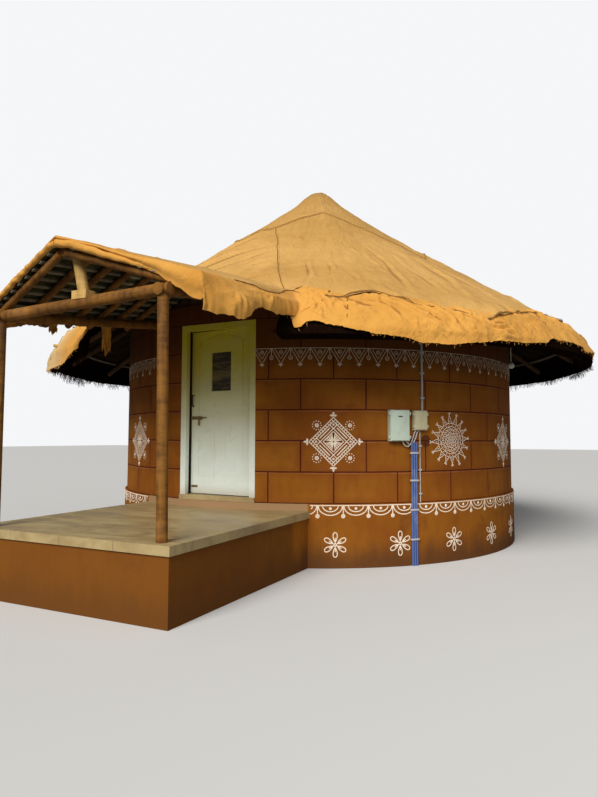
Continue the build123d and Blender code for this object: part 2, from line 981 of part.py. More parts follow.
def all_nodes():
    nodes = {"plinth": plinth(), "floor_slab": floor_slab(), **wall_segments()}
    nodes["wall_over_door"] = wall_over_door()
    nodes["door_sill"] = door_sill()
    nodes["wall_plate"] = wall_plate()
    nodes["main_tie_beam"] = main_tie_beam()
    nodes["king_post"] = king_post()
    nodes["apex_hub"] = apex_hub()
    nodes["main_rafters"] = main_rafters()
    nodes["roof_hoops"] = roof_hoops()
    nodes["thatch"] = thatch()
    nodes["roof_canvas"] = roof_canvas()
    nodes["canvas_hem"] = canvas_hem()
    nodes["porch_base"] = porch_base()
    nodes["porch_floor"] = porch_floor()
    nodes["right_post"] = porch_post(1)
    nodes["left_post"] = porch_post(-1)
    nodes["front_tie_beam"] = front_tie_beam()
    nodes["right_eave_beam"] = eave_beam(1)
    nodes["left_eave_beam"] = eave_beam(-1)
    nodes["porch_king_post"] = Compound(children=[porch_king_post(), king_block()])
    nodes["ridge_pole"] = ridge_pole()
    nodes["ridge_chock"] = ridge_chock()
    nodes["porch_rafters"] = porch_rafters_set()
    nodes["porch_battens"] = porch_battens()
    nodes["porch_matting"] = porch_matting()
    nodes["porch_canvas"] = porch_canvas()
    nodes["door_frame"] = door_frame()
    nodes["door_leaf"] = door_leaf()
    nodes["door_glass"] = door_glass()
    nodes["frame_hinges"] = frame_hinges()
    nodes["leaf_hinges"] = leaf_hinges()
    nodes["pull_handle"] = pull_handle()
    nodes["door_bolts"] = door_bolts()
    nodes["meter_box"] = meter_box()
    nodes["junction_box"] = junction_box()
    nodes["grey_conduits"] = grey_conduits()
    nodes["blue_conduits"] = blue_conduits()
    nodes["eave_lamp"] = eave_lamp()
    return nodes


os.makedirs("parts", exist_ok=True)
for node, shape in all_nodes().items():
    export_step(shape, f"parts/{node}.step")
    print(node, round(shape.volume / 1e9, 5), "m3")
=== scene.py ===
"""Looks of a round mud-walled hut with a canvas-covered thatched roof and a gabled porch.

Everything is in metres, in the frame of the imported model: the origin is at the centre of
the hut on the ground, +Z is up and the door faces -Y. An azimuth is counted in degrees
from the door towards +X.
"""

import math
import random

import bpy
from mathutils import Matrix, Vector, noise


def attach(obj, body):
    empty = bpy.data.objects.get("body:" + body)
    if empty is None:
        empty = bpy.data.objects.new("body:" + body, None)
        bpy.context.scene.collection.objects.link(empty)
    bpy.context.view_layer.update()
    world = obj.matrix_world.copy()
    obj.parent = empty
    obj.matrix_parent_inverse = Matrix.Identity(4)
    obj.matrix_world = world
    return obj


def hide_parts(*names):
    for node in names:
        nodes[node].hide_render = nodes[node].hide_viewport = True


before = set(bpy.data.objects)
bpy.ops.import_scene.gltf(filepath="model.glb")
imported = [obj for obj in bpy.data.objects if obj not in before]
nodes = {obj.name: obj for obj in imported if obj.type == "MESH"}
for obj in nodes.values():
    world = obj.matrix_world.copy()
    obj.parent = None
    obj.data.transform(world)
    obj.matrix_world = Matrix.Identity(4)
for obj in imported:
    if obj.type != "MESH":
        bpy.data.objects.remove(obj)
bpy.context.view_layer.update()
chance = random.Random(11)

# Wall: its radius and the ledge's below it, the height of its foot and of a course of blocks,
# and, in degrees, the turn from block to block and the first upright joint
HUT_R = 3.0
LEDGE_R = 3.03
WALL_FOOT = 0.72
COURSE_H = 0.36
BLOCK_TURN = 14.6
JOINT_START = 13.35

# Line of the roof's canvas, as radius and height
APEX = (0.0, 5.588)
CROWN_ARC = (0.08, 5.558)
CROWN = (0.17, 5.481)
SLOPE = (1.985, 4.133)
SHOULDER = (3.80, 2.963)
EAVE_ARC = (4.011, 2.735)
RIM = (4.11, 2.56)
EAVE_R = RIM[0]
SEAM_R = 3.85
THATCH_FOOT = 2.46

# Hem: the radius at which distance round it is counted, its usual drop, and the degrees that
# the porch takes from it at each side of the door
HEM_R = 4.1
HEM_DROP = 0.6
NOTCH = 19

# Porch roof: half its width, its ridge over the posts, the ridge's rise from there to the hut,
# the front at the ridge and how far the rakes sweep back, and the fall of each side
PORCH_HALF = 1.30
PORCH_RIDGE = 3.22
PORCH_RISE = 0.13
TRUSS_Y = -5.20
RAKE_Y = -5.43
RAKE_SWEEP = 0.22
SLOPE_RIGHT = 0.34
SLOPE_LEFT = 0.40

# Porch cloth: the length of the flap at each side, its slope in degrees where it leaves the
# roof, the part turned down in front, the width of the strip there, and the shares of the grid
# at which the strip begins at the sides and ends in front
FLAP = 0.38
BEND = 50.0
TURN_DOWN = 0.12
RAKE_STRIP = 0.30
SEAM_SHARE = 0.85
FRONT_SHARE = 0.20

THIN_CLOTH = 0.004
THICK_CLOTH = 0.005
FOLD_SQUARE = 0.3

# Azimuth and height of the two boxes
METER = (42.6, 1.62)
JUNCTION = (48.0, 1.683)


def clamp(value, low=0.0, high=1.0):
    return max(low, min(high, value))


def bell(off, width):
    """1 where off is 0, falling to nearly nothing at twice the width."""
    return math.exp(-((off / width) ** 2))


def uneven(x, y=0.0, z=0.0):
    """A smooth random value between -1 and 1."""
    return noise.noise(Vector((x, y, z)))


# Making pieces
def deselect():
    bpy.ops.object.select_all(action="DESELECT")


def take(obj):
    """Makes obj the one selected and active object."""
    deselect()
    obj.select_set(True)
    bpy.context.view_layer.objects.active = obj
    return obj


def named(name):
    obj = bpy.context.active_object
    obj.name = name
    obj.data.name = name
    return obj


def settle(obj):
    """Puts the object's place into its mesh."""
    take(obj)
    bpy.ops.object.transform_apply(location=True, rotation=True, scale=True)
    return obj


def modify(obj, kind, **settings):
    take(obj)
    modifier = obj.modifiers.new(kind.lower(), kind)
    for key, value in settings.items():
        setattr(modifier, key, value)
    bpy.ops.object.modifier_apply(modifier=modifier.name)
    return obj


def mend(obj, gap=0.0005):
    """Merges doubles and turns the faces outwards."""
    take(obj)
    bpy.ops.object.mode_set(mode="EDIT")
    bpy.ops.mesh.select_all(action="SELECT")
    bpy.ops.mesh.remove_doubles(threshold=gap)
    bpy.ops.mesh.normals_make_consistent(inside=False)
    bpy.ops.object.mode_set(mode="OBJECT")
    return obj


def smooth(obj, angle=40):
    take(obj)
    bpy.ops.object.shade_smooth_by_angle(angle=math.radians(angle))
    return obj


def copy_of(obj, name, matrix):
    """A copy with a mesh of its own, moved by matrix."""
    other = obj.copy()
    other.data = obj.data.copy()
    other.name = name
    other.data.name = name
    bpy.context.scene.collection.objects.link(other)
    other.data.transform(matrix)
    return other


def join(parts, name):
    deselect()
    for part in parts:
        part.select_set(True)
    bpy.context.view_layer.objects.active = parts[0]
    bpy.ops.object.join()
    return named(name)


def drop(obj):
    bpy.data.objects.remove(obj)


def grid_piece(name, across, along, place, keep=None):
    """A grid whose points go where place(u, v) says, with u and v from 0 to 1.

    place may give the depth of the folds beside the point; keep(u, v) says which faces stay.
    """
    deselect()
    bpy.ops.mesh.primitive_grid_add(
        x_subdivisions=across, y_subdivisions=along, size=1, location=(0, 0, 0)
    )
    obj = named(name)
    if keep:
        delete_faces(obj, lambda c: not keep(c.x + 0.5, c.y + 0.5))
    depths = []
    for vertex in obj.data.vertices:
        spot = place(vertex.co.x + 0.5, vertex.co.y + 0.5)
        if isinstance(spot, tuple):
            spot, depth = spot
            depths.append(depth)
        vertex.co = spot
    if depths:
        kept = obj.data.attributes.new("fold_depth", "FLOAT", "POINT")
        kept.data.foreach_set("value", depths)
    return obj


def delete_faces(obj, unwanted):
    """Deletes the faces whose centre is unwanted."""
    take(obj)
    bpy.ops.object.mode_set(mode="EDIT")
    bpy.ops.mesh.select_mode(type="FACE")
    bpy.ops.object.mode_set(mode="OBJECT")
    for polygon in obj.data.polygons:
        polygon.select = unwanted(polygon.center)
    bpy.ops.object.mode_set(mode="EDIT")
    bpy.ops.mesh.delete(type="FACE")
    bpy.ops.object.mode_set(mode="OBJECT")
    return obj


def thicken(sheet, thickness=THIN_CLOTH):
    """Gives a sheet its thickness, on the side that its faces turn away from."""
    return modify(sheet, "SOLIDIFY", thickness=thickness, offset=-1)


def dress(obj, finish, body="house", instead_of=()):
    """Gives a finished piece its material, its body and the nodes it stands for."""
    obj.data.materials.clear()
    obj.data.materials.append(finish.material)
    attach(obj, body)
    if instead_of:
        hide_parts(*instead_of)
    return obj


def wire_mesh(name, lines, radius, sides=1, taper=None):
    """Round strokes along lines of points, as one closed mesh.

    taper gives the share of the radius at a share of the way.
    """
    curve = bpy.data.curves.new(name, "CURVE")
    curve.dimensions = "3D"
    curve.bevel_depth = radius
    curve.bevel_resolution = sides
    curve.use_fill_caps = True
    for points, closed in lines:
        spline = curve.splines.new("POLY")
        spline.points.add(len(points) - 1)
        for i, (point, place) in enumerate(zip(spline.points, points)):
            point.co = (*place, 1)
            if taper:
                point.radius = taper(i / (len(points) - 1))
        spline.use_cyclic_u = closed
    obj = bpy.data.objects.new(name, curve)
    bpy.context.scene.collection.objects.link(obj)
    take(obj)
    bpy.ops.object.convert(target="MESH")
    return named(name)


# Materials
class Wire:
    """An output socket in arithmetic: each operator adds its Math node."""

    def __init__(self, tree, socket):
        self.tree = tree
        self.socket = socket

    def math(self, operation, *others):
        return math_node(self.tree, operation, self, *others)

    def __add__(self, other):
        return self.math("ADD", other)

    def __radd__(self, other):
        return self.math("ADD", other)

    def __sub__(self, other):
        return self.math("SUBTRACT", other)

    def __rsub__(self, other):
        return math_node(self.tree, "SUBTRACT", other, self)

    def __mul__(self, other):
        return self.math("MULTIPLY", other)

    def __rmul__(self, other):
        return self.math("MULTIPLY", other)

    def __truediv__(self, other):
        return self.math("DIVIDE", other)

    def __pow__(self, other):
        return self.math("POWER", other)

    def __mod__(self, other):
        return self.math("FLOORED_MODULO", other)

    def __abs__(self):
        return self.math("ABSOLUTE")


def feed(tree, slot, value):
    if isinstance(value, Wire):
        tree.links.new(value.socket, slot)
    elif value is not None:
        slot.default_value = value


def math_node(tree, operation, *values):
    node = tree.nodes.new("ShaderNodeMath")
    node.operation = operation
    for slot, value in zip(node.inputs, values):
        feed(tree, slot, value)
    return Wire(tree, node.outputs[0])


class Finish:
    """A material whose Principled shader is fed by node patterns."""

    def __init__(
        self, name, colour=(0.5, 0.5, 0.5), roughness=0.8, metallic=0.0, gloss=0.5, **plain
    ):
        self.material = bpy.data.materials.new(name)
        self.material.use_nodes = True
        self.tree = self.material.node_tree
        self.shader = self.tree.nodes["Principled BSDF"]
        self.shader.inputs["Base Color"].default_value = (*colour, 1)
        self.shader.inputs["Roughness"].default_value = roughness
        self.shader.inputs["Metallic"].default_value = metallic
        self.shader.inputs["Specular IOR Level"].default_value = gloss
        for key, value in plain.items():
            self.shader.inputs[key.replace("_", " ").title()].default_value = value
        self.place = self.node("TexCoord", out="Object")

    def node(self, kind, settings=None, out=0, **inputs):
        """Any node: its type, its settings, and the values or links of its sockets."""
        node = self.tree.nodes.new("ShaderNode" + kind)
        for key, value in (settings or {}).items():
            setattr(node, key, value)
        for key, value in inputs.items():
            feed(self.tree, node.inputs[key.replace("_", " ")], value)
        return Wire(self.tree, node.outputs[out])

    def axes(self):
        parts = self.tree.nodes.new("ShaderNodeSeparateXYZ")
        feed(self.tree, parts.inputs[0], self.place)
        return [Wire(self.tree, socket) for socket in parts.outputs]

    def stretched(self, x, y, z):
        return self.node("Mapping", Vector=self.place, Scale=(x, y, z))

    def radial(self, around, along):
        """Coordinates that run round the hut's axis and, more slowly, out along the slope."""
        x, y, z = self.axes()
        radius = (x * x + y * y).math("SQRT") + 0.001
        return self.node(
            "CombineXYZ", X=x / radius * around, Y=y / radius * around, Z=(radius - z) * along
        )

    def noise(self, scale, detail=3.0, at=None, rough=0.5, twist=0.0):
        return self.node(
            "TexNoise",
            Vector=at or self.place,
            Scale=scale,
            Detail=detail,
            Roughness=rough,
            Distortion=twist,
        )

    def step(self, value, low, high, new_low=0.0, new_high=1.0):
        """A soft step of value between low and high."""
        return self.node(
            "MapRange", {"interpolation_type": "SMOOTHSTEP"},
            Value=value, From_Min=low, From_Max=high, To_Min=new_low, To_Max=new_high,
        )

    def mix(self, mask, first, second):
        node = self.tree.nodes.new("ShaderNodeMix")
        node.data_type = "RGBA"
        feed(self.tree, node.inputs[0], mask)
        for slot, colour in ((6, first), (7, second)):
            feed(self.tree, node.inputs[slot], colour if isinstance(colour, Wire) else (*colour, 1))
        return Wire(self.tree, node.outputs[2])

    def bump(self, height, depth, under=None):
        return self.node("Bump", Strength=1.0, Distance=depth, Height=height, Normal=under)

    def set(self, colour, roughness=None, normal=None):
        feed(self.tree, self.shader.inputs["Base Color"], colour)
        feed(self.tree, self.shader.inputs["Roughness"], roughness)
        feed(self.tree, self.shader.inputs["Normal"], normal)
        return self


def mud_plaster(name, jointed):
    """Brown paint on mud plaster, with the courses of blocks ruled on it."""
    made = Finish(name, roughness=0.82, gloss=0.15)
    x, y, z = made.axes()
    broad = made.noise(0.8, 4, rough=0.6)
    brushed = made.noise(7, 5, at=made.stretched(1, 1, 0.35), rough=0.65)
    fine = made.noise(60, 4, rough=0.7)
    colour = made.mix(made.step(broad, 0.33, 0.68), (0.235, 0.068, 0.006), (0.320, 0.112, 0.008))
    colour = made.mix(made.step(brushed, 0.42, 0.75, 0, 0.4), colour, (0.19, 0.048, 0.007))
    drips = made.noise(3.4, 5, at=made.stretched(1, 1, 0.16), rough=0.6)
    low = made.step(z + 0.5 * drips, 0.28, 0.62, 1, 0)
    colour = made.mix(0.75 * low, colour, (0.085, 0.036, 0.014))
    stain = made.step(made.noise(2.1, 5, rough=0.7, twist=0.7), 0.56, 0.72, 0, 0.45)
    colour = made.mix(stain, colour, (0.12, 0.036, 0.010))
    height = 0.25 * fine + 0.75 * brushed
    if jointed:
        wobble = 0.010 * (made.noise(2.2, 2) - 0.5)
        turn = x.math("ARCTAN2", 0 - y) * (180 / math.pi)
        up = z - WALL_FOOT + wobble
        row = (up / COURSE_H).math("FLOOR")
        start = JOINT_START + (row % 2) * (BLOCK_TURN / 2)
        aside = abs((turn - start + BLOCK_TURN / 2) % BLOCK_TURN - BLOCK_TURN / 2)
        aside = aside * (math.radians(1) * HUT_R) + 0.6 * wobble
        under = (up + COURSE_H / 2) % COURSE_H - COURSE_H / 2
        near = aside.math("MINIMUM", abs(under))
        line = made.step(near, 0.0035, 0.009, 1, 0)
        # Painted highlight: a lighter line just below each level joint, on the lip of the block
        # under the groove.
        light = made.step(under, -0.024, -0.015) * made.step(under, -0.012, -0.007, 1, 0)
        patchy = made.step(made.noise(5, 3), 0.35, 0.6, 0.25, 1.0)
        edge = made.step(near, 0.02, 0.10, 0.35, 0)
        colour = made.mix(edge, colour, (0.21, 0.05, 0.008))
        colour = made.mix(0.6 * light * patchy, colour, (0.42, 0.16, 0.06))
        colour = made.mix(0.95 * line, colour, (0.085, 0.010, 0.004))
        round_patch = ((turn - 49.9) / 1.5) ** 2 + ((z - 1.44) / 0.085) ** 2
        damp = made.step(round_patch + 0.6 * broad, 0.9, 1.35, 0.85, 0)
        colour = made.mix(damp, colour, (0.085, 0.022, 0.008))
        height = height - 2.4 * line
        inside = made.step((x * x + y * y).math("SQRT"), 2.79, 2.81, 1, 0)
        wash = made.mix(made.step(brushed, 0.4, 0.7), (0.62, 0.53, 0.40), (0.50, 0.40, 0.28))
        colour = made.mix(inside, colour, wash)
        # Painted shade: the wall darkens towards its top, where the eave shades it.
        eave_shade = made.step(z + 0.2 * broad, 2.25, 2.80, 0, 0.68) * (1 - inside)
        colour = made.mix(eave_shade, colour, (0.040, 0.010, 0.004))
    else:
        landing = made.step(abs(x), 1.14, 1.16, 1, 0) * made.step(y, -2.6, -2.5, 1, 0)
        landing = landing * made.step(y, -3.10, -3.09) * made.step(z, 0.60, 0.61)
        front = made.step(y, -3.3, -3.1, 0.70, 0)
        colour = made.mix(front, colour, (0.150, 0.052, 0.007))
        colour = made.mix(landing, colour, (0.36, 0.22, 0.11))
    made.set(colour, made.step(brushed, 0.3, 0.7, 0.72, 0.9), made.bump(height, 0.004))
    return made


def lime_paint():
    """Thick white strokes of lime, worn through in places, with painted shade under the eave."""
    made = Finish("lime_relief", (0.86, 0.74, 0.60), 0.75, gloss=0.1)
    z = made.axes()[2]
    worn = made.noise(30, 4, rough=0.7)
    colour = made.mix(made.step(worn, 0.45, 0.75, 0, 0.5), (0.92, 0.79, 0.64), (0.62, 0.42, 0.24))
    # Painted shade: the strokes darken above about 2.2 m, under the eave.
    colour = made.mix(made.step(z, 2.20, 2.45, 0, 0.50), colour, (0.34, 0.22, 0.13))
    return made.set(colour, normal=made.bump(made.noise(160, 3), 0.0015))


def canvas_cloth(name, light, deep, stain):
    """Sun-bleached cotton canvas: weave, streaks of dust, painted shade in the hollows of its
    folds, painted highlights on their crests, and painted sunlight at the front left.
    """
    made = Finish(name, roughness=0.95, gloss=0.04, sheen_weight=0.03, sheen_roughness=0.6)
    broad = made.noise(0.75, 4, rough=0.6, twist=0.6)
    down = made.radial(9, 1.6)
    streak = made.noise(1.0, 5, at=down, rough=0.7, twist=0.3)
    speck = made.noise(26, 4, rough=0.75)
    folds = made.node("Attribute", {"attribute_name": "fold_depth"}, out="Fac")
    colour = made.mix(made.step(broad, 0.33, 0.67), light, deep)
    colour = made.mix(made.step(streak, 0.52, 0.76, 0, 0.38), colour, stain)
    colour = made.mix(made.step(speck, 0.60, 0.82, 0, 0.22), colour, stain)
    # Painted shade in the hollows of the folds and painted highlight on their crests, both read
    # from fold_depth.
    hollow = tuple(0.8 * c for c in stain)
    wear_and_highlight = tuple(min(1.0, 1.12 * c + 0.02) for c in light)
    colour = made.mix(made.step(0 - folds, 0.10, 0.75, 0, 0.72), colour, hollow)
    colour = made.mix(made.step(folds, 0.35, 1.0, 0, 0.30), colour, wear_and_highlight)
    x, y, z = made.axes()
    # Painted sunlight: the cloth is lighter and creamier at the front left, beside the porch.
    sunlit_left_end = made.step(x, -2.2, -1.5, 0.75, 0) * made.step(y, -3.1, -2.6, 1, 0)
    colour = made.mix(sunlit_left_end, colour, (0.70, 0.52, 0.27))
    weave = (x * 700).math("SINE") * (y * 700).math("SINE") + (z * 700).math("SINE") * 0.5
    crumple = made.noise(8, 4, rough=0.55, twist=0.8)
    creases = made.noise(2.2, 5, at=down, rough=0.65, twist=0.8)
    normal = made.bump(weave, 0.0006)
    normal = made.bump(crumple, 0.010, normal)
    normal = made.bump(creases, 0.03, normal)
    return made.set(colour, normal=normal)


def dry_grass():
    """Old straw, nearly black in the shade under the eave."""
    made = Finish("dry_grass", roughness=1.0, gloss=0.0)
    x, y, z = made.axes()
    along = made.noise(1.0, 5, at=made.radial(150, 6), rough=0.75)
    clump = made.noise(5, 3)
    colour = made.mix(made.step(along, 0.35, 0.7), (0.018, 0.012, 0.006), (0.105, 0.070, 0.032))
    colour = made.mix(made.step(clump, 0.4, 0.7, 0, 0.6), colour, (0.030, 0.022, 0.014))
    under = made.step(z, 2.80, 3.00, 1, 0) * made.step((x * x + y * y).math("SQRT"), 3.65, 3.80)
    colour = made.mix(0.94 * under, colour, (0.008, 0.003, 0.002))
    return made.set(colour, normal=made.bump(along, 0.03))


def round_timber(name, light, dark, worn=0.4):
    """Round poles with long grain, knots and rubbed edges."""
    made = Finish(name, roughness=0.7, gloss=0.25)
    grain = made.noise(14, 6, at=made.stretched(1, 1, 0.14), rough=0.7, twist=0.5)
    cross = made.noise(14, 6, at=made.stretched(0.2, 0.2, 1), rough=0.7, twist=0.5)
    both = 0.5 * (grain + cross)
    patch = made.noise(2.4, 4)
    colour = made.mix(made.step(both, 0.36, 0.62), dark, light)
    wear_and_highlight = tuple(min(1.0, c * 1.8 + 0.05) for c in light)
    colour = made.mix(made.step(patch, 0.56, 0.74, 0, worn), colour, wear_and_highlight)
    return made.set(colour, made.step(both, 0.3, 0.7, 0.6, 0.85), made.bump(both, 0.006))


def woven_matting():
    """The underside of the porch roof: dark palm mat with lighter splits."""
    made = Finish("palm_matting", roughness=0.95, gloss=0.1)
    strips = made.noise(11, 4, at=made.stretched(1.2, 0.25, 1), rough=0.7)
    fine = made.noise(55, 3, at=made.stretched(1, 0.3, 1), rough=0.7)
    patch = made.noise(2.4, 3)
    colour = made.mix(made.step(strips, 0.4, 0.66), (0.012, 0.013, 0.006), (0.050, 0.052, 0.020))
    colour = made.mix(made.step(patch, 0.55, 0.72, 0, 0.7), colour, (0.16, 0.13, 0.045))
    colour = made.mix(made.step(fine, 0.55, 0.75, 0, 0.4), colour, (0.12, 0.10, 0.045))
    return made.set(colour, normal=made.bump(strips + 0.4 * fine, 0.02))


def door_paint():
    """White gloss paint, with painted shade tinted yellow towards the head of the door, under the
    porch roof.
    """
    made = Finish("door_paint", roughness=0.32, coat_weight=0.2, coat_roughness=0.25)
    z = made.axes()[2]
    soft = made.noise(5, 3)
    # Painted shade: towards the head of the door, under the porch roof, the white turns dark
    # yellow.
    head = made.step(z + 0.12 * made.noise(1.6, 2), 1.15, 2.70)
    colour = made.mix(head, (0.82, 0.89, 0.82), (0.62, 0.54, 0.035))
    colour = made.mix(made.step(soft, 0.45, 0.75, 0, 0.16), colour, (0.60, 0.60, 0.46))
    foot = made.step(z + 0.05 * soft, 0.80, 0.94, 1, 0)
    colour = made.mix(0.5 * foot, colour, (0.42, 0.33, 0.22))
    rough = made.step(soft, 0.3, 0.7, 0.25, 0.42)
    return made.set(colour, rough, made.bump(made.noise(90, 2), 0.0008))


def patterned_pane():
    """Rippled glass that shows a dim room in bands, with a painted glint across it."""
    made = Finish("patterned_pane", roughness=0.14)
    z = made.axes()[2]
    bands = made.noise(7, 4, at=made.stretched(0.4, 0.4, 3.2), rough=0.6)
    ripple = made.node("TexVoronoi", Vector=made.place, Scale=55.0)
    colour = made.mix(made.step(bands, 0.45, 0.68), (0.030, 0.022, 0.008), (0.17, 0.11, 0.030))
    # Painted highlight: a soft warm glint in a band across the pane.
    painted_glint = made.step(abs(z - 2.30 + 0.10 * bands), 0.01, 0.08, 1, 0)
    colour = made.mix(0.45 * painted_glint, colour, (0.30, 0.22, 0.06))
    return made.set(colour, normal=made.bump(ripple, 0.006))


def metal(name, colour, roughness, rust=0.3):
    """Dull metal with spots of rust."""
    made = Finish(name, colour, roughness, 1.0)
    spots = made.noise(35, 4, rough=0.7)
    tint = made.mix(made.step(spots, 0.5, 0.72, 0, rust), colour, (0.16, 0.065, 0.025))
    return made.set(tint, made.step(spots, 0.35, 0.7, roughness, roughness + 0.3))


def plastic(name, colour, roughness=0.42, dust=(0.35, 0.27, 0.17), dusty=0.35):
    """Moulded plastic with grime that has run down it."""
    made = Finish(name, colour, roughness)
    grime = made.noise(12, 5, at=made.stretched(1, 1, 0.4), rough=0.7)
    tint = made.mix(made.step(grime, 0.48, 0.78, 0, dusty), colour, dust)
    rough = made.step(grime, 0.35, 0.75, roughness, roughness + 0.25)
    return made.set(tint, rough, made.bump(made.noise(140, 2), 0.0005))


def floor_tiles():
    """Large slabs of polished brown stone with fine joints."""
    made = Finish("floor_tiles", roughness=0.5)
    x, y = made.axes()[:2]
    size = 0.60
    wide = abs((x + size / 2) % size - size / 2)
    deep = abs((y + size / 4) % size - size / 2)
    joint = made.step(wide.math("MINIMUM", deep), 0.001, 0.005, 1, 0)
    marble = made.noise(2.2, 6, at=made.stretched(0.5, 1.4, 1), rough=0.65, twist=1.5)
    dirt = made.noise(1.4, 4)
    worn = made.noise(14, 4, rough=0.7)
    colour = made.mix(made.step(marble, 0.35, 0.68), (0.33, 0.235, 0.105), (0.46, 0.35, 0.165))
    colour = made.mix(made.step(dirt, 0.5, 0.75, 0, 0.55), colour, (0.24, 0.16, 0.085))
    colour = made.mix(made.step(worn, 0.55, 0.75, 0, 0.3), colour, (0.52, 0.43, 0.30))
    colour = made.mix(0.55 * joint, colour, (0.16, 0.11, 0.07))
    return made.set(colour, made.step(marble, 0.3, 0.7, 0.3, 0.55), made.bump(1 - joint, 0.002))


MUD = mud_plaster("mud_plaster", True)
MUD_PLAIN = mud_plaster("mud_plaster_base", False)
LIME = lime_paint()
CANVAS = canvas_cloth(
    "roof_canvas", (0.63, 0.365, 0.112), (0.53, 0.295, 0.080), (0.34, 0.165, 0.040)
)
HEM = canvas_cloth(
    "hem_canvas", (0.69, 0.345, 0.072), (0.57, 0.265, 0.048), (0.33, 0.130, 0.024)
)
THREAD = Finish("seam_thread", (0.24, 0.12, 0.035), 0.9, gloss=0.1)
GRASS = dry_grass()
POLE = round_timber("painted_poles", (0.26, 0.112, 0.016), (0.090, 0.033, 0.006))
BARE = round_timber("bare_wood", (0.62, 0.40, 0.13), (0.38, 0.21, 0.06), 0.5)
FRAME_WOOD = round_timber("roof_poles", (0.15, 0.080, 0.035), (0.065, 0.032, 0.014))
BAMBOO = round_timber("split_bamboo", (0.22, 0.20, 0.14), (0.10, 0.09, 0.06), 0.6)
MATTING = woven_matting()
DOOR = door_paint()
PANE = patterned_pane()
STEEL = metal("dull_steel", (0.50, 0.49, 0.46), 0.38)
IRON = metal("black_iron", (0.05, 0.045, 0.04), 0.45)
BRASS = metal("old_brass", (0.36, 0.27, 0.13), 0.42, 0.6)
BOX_GREEN = plastic("pale_green_box", (0.60, 0.70, 0.58))
BOX_BEIGE = plastic("beige_box", (0.64, 0.58, 0.36))
PIPE_GREY = plastic("grey_pipe", (0.50, 0.48, 0.46), 0.4)
PIPE_BLUE = plastic("blue_pipe", (0.080, 0.135, 0.35), 0.40, (0.34, 0.36, 0.44), 0.5)
LAMP = plastic("opal_globe", (0.80, 0.78, 0.70), 0.25, dusty=0.2)
TILES = floor_tiles()
CEMENT = plastic("cement_floor", (0.38, 0.33, 0.27), 0.8)


# Carried-over nodes and their finishes
WEARS = {
    MUD: ("wall_front_right", "wall_right", "wall_back_right", "wall_back_left", "wall_left",
          "wall_front_left", "wall_over_door"),
    MUD_PLAIN: ("plinth", "porch_base"),
    CEMENT: ("floor_slab",),
    TILES: ("door_sill", "porch_floor"),
    FRAME_WOOD: ("wall_plate", "main_tie_beam", "king_post", "apex_hub", "main_rafters",
                 "ridge_chock"),
    BAMBOO: ("roof_hoops", "porch_battens"),
    GRASS: ("thatch",),
    POLE: ("right_post", "left_post", "front_tie_beam", "right_eave_beam", "left_eave_beam",
           "ridge_pole", "porch_rafters"),
    BARE: ("porch_king_post",),
    MATTING: ("porch_matting",),
    DOOR: ("door_frame", "door_leaf"),
    PANE: ("door_glass",),
    STEEL: ("frame_hinges", "leaf_hinges"),
    IRON: ("pull_handle",),
    BRASS: ("door_bolts",),
    BOX_GREEN: ("meter_box",),
    BOX_BEIGE: ("junction_box",),
    PIPE_GREY: ("grey_conduits",),
    PIPE_BLUE: ("blue_conduits",),
    LAMP: ("eave_lamp",),
}
for finish, members in WEARS.items():
    for member in members:
        nodes[member].data.materials.clear()
        nodes[member].data.materials.append(finish.material)


# Places on the wall and the roof
def plan(az, radius):
    """Seen from above, the point at an azimuth and a radius."""
    a = math.radians(az)
    return radius * math.sin(a), -radius * math.cos(a)


def on_wall(az, height, out, radius=HUT_R):
    """The point at an azimuth and a height, and out from the wall's face."""
    return Vector((*plan(az, radius + out), height))


def arc_through(first, middle, last):
    """The arc through three points, as a function of 0 to 1 that gives a point and its normal."""
    (ax, ay), (bx, by), (cx, cy) = first, middle, last
    d = 2 * (ax * (by - cy) + bx * (cy - ay) + cx * (ay - by))
    a2, b2, c2 = ax * ax + ay * ay, bx * bx + by * by, cx * cx + cy * cy
    # ux, uy is the arc's centre
    ux = (a2 * (by - cy) + b2 * (cy - ay) + c2 * (ay - by)) / d
    uy = (a2 * (cx - bx) + b2 * (ax - cx) + c2 * (bx - ax)) / d
    radius = math.hypot(ax - ux, ay - uy)
    start = math.atan2(ay - uy, ax - ux)
    turn = math.atan2(cy - uy, cx - ux) - start
    turn = (turn + math.pi) % (2 * math.pi) - math.pi

    def at(t):
        a = start + turn * t
        way = 1 if math.sin(a) > 0 else -1
        return (
            ux + radius * math.cos(a),
            uy + radius * math.sin(a),
            way * math.cos(a),
            way * math.sin(a),
        )

    at.length = abs(turn) * radius
    return at


CROWN_LINE = arc_through(APEX, CROWN_ARC, CROWN)
SLOPE_LINE = arc_through(CROWN, SLOPE, SHOULDER)
EAVE_LINE = arc_through(SHOULDER, EAVE_ARC, RIM)
LINE_ENDS = (
    CROWN_LINE.length,
    CROWN_LINE.length + SLOPE_LINE.length,
    CROWN_LINE.length + SLOPE_LINE.length + EAVE_LINE.length,
)


def roof_line(way):
    """Radius, height and normal of the canvas at a distance down from the apex."""
    if way < LINE_ENDS[0]:
        return CROWN_LINE(way / CROWN_LINE.length)
    if way < LINE_ENDS[1]:
        return SLOPE_LINE((way - LINE_ENDS[0]) / SLOPE_LINE.length)
    if way < LINE_ENDS[2]:
        return EAVE_LINE((way - LINE_ENDS[1]) / EAVE_LINE.length)
    return RIM[0], RIM[1] - (way - LINE_ENDS[2]), 1.0, 0.0


def down_to(radius):
    """The distance down from the apex at which the canvas has this radius."""
    low, high = 0.0, LINE_ENDS[2]
    for _ in range(30):
        middle = (low + high) / 2
        if roof_line(middle)[0] < radius:
            low = middle
        else:
            high = middle
    return low


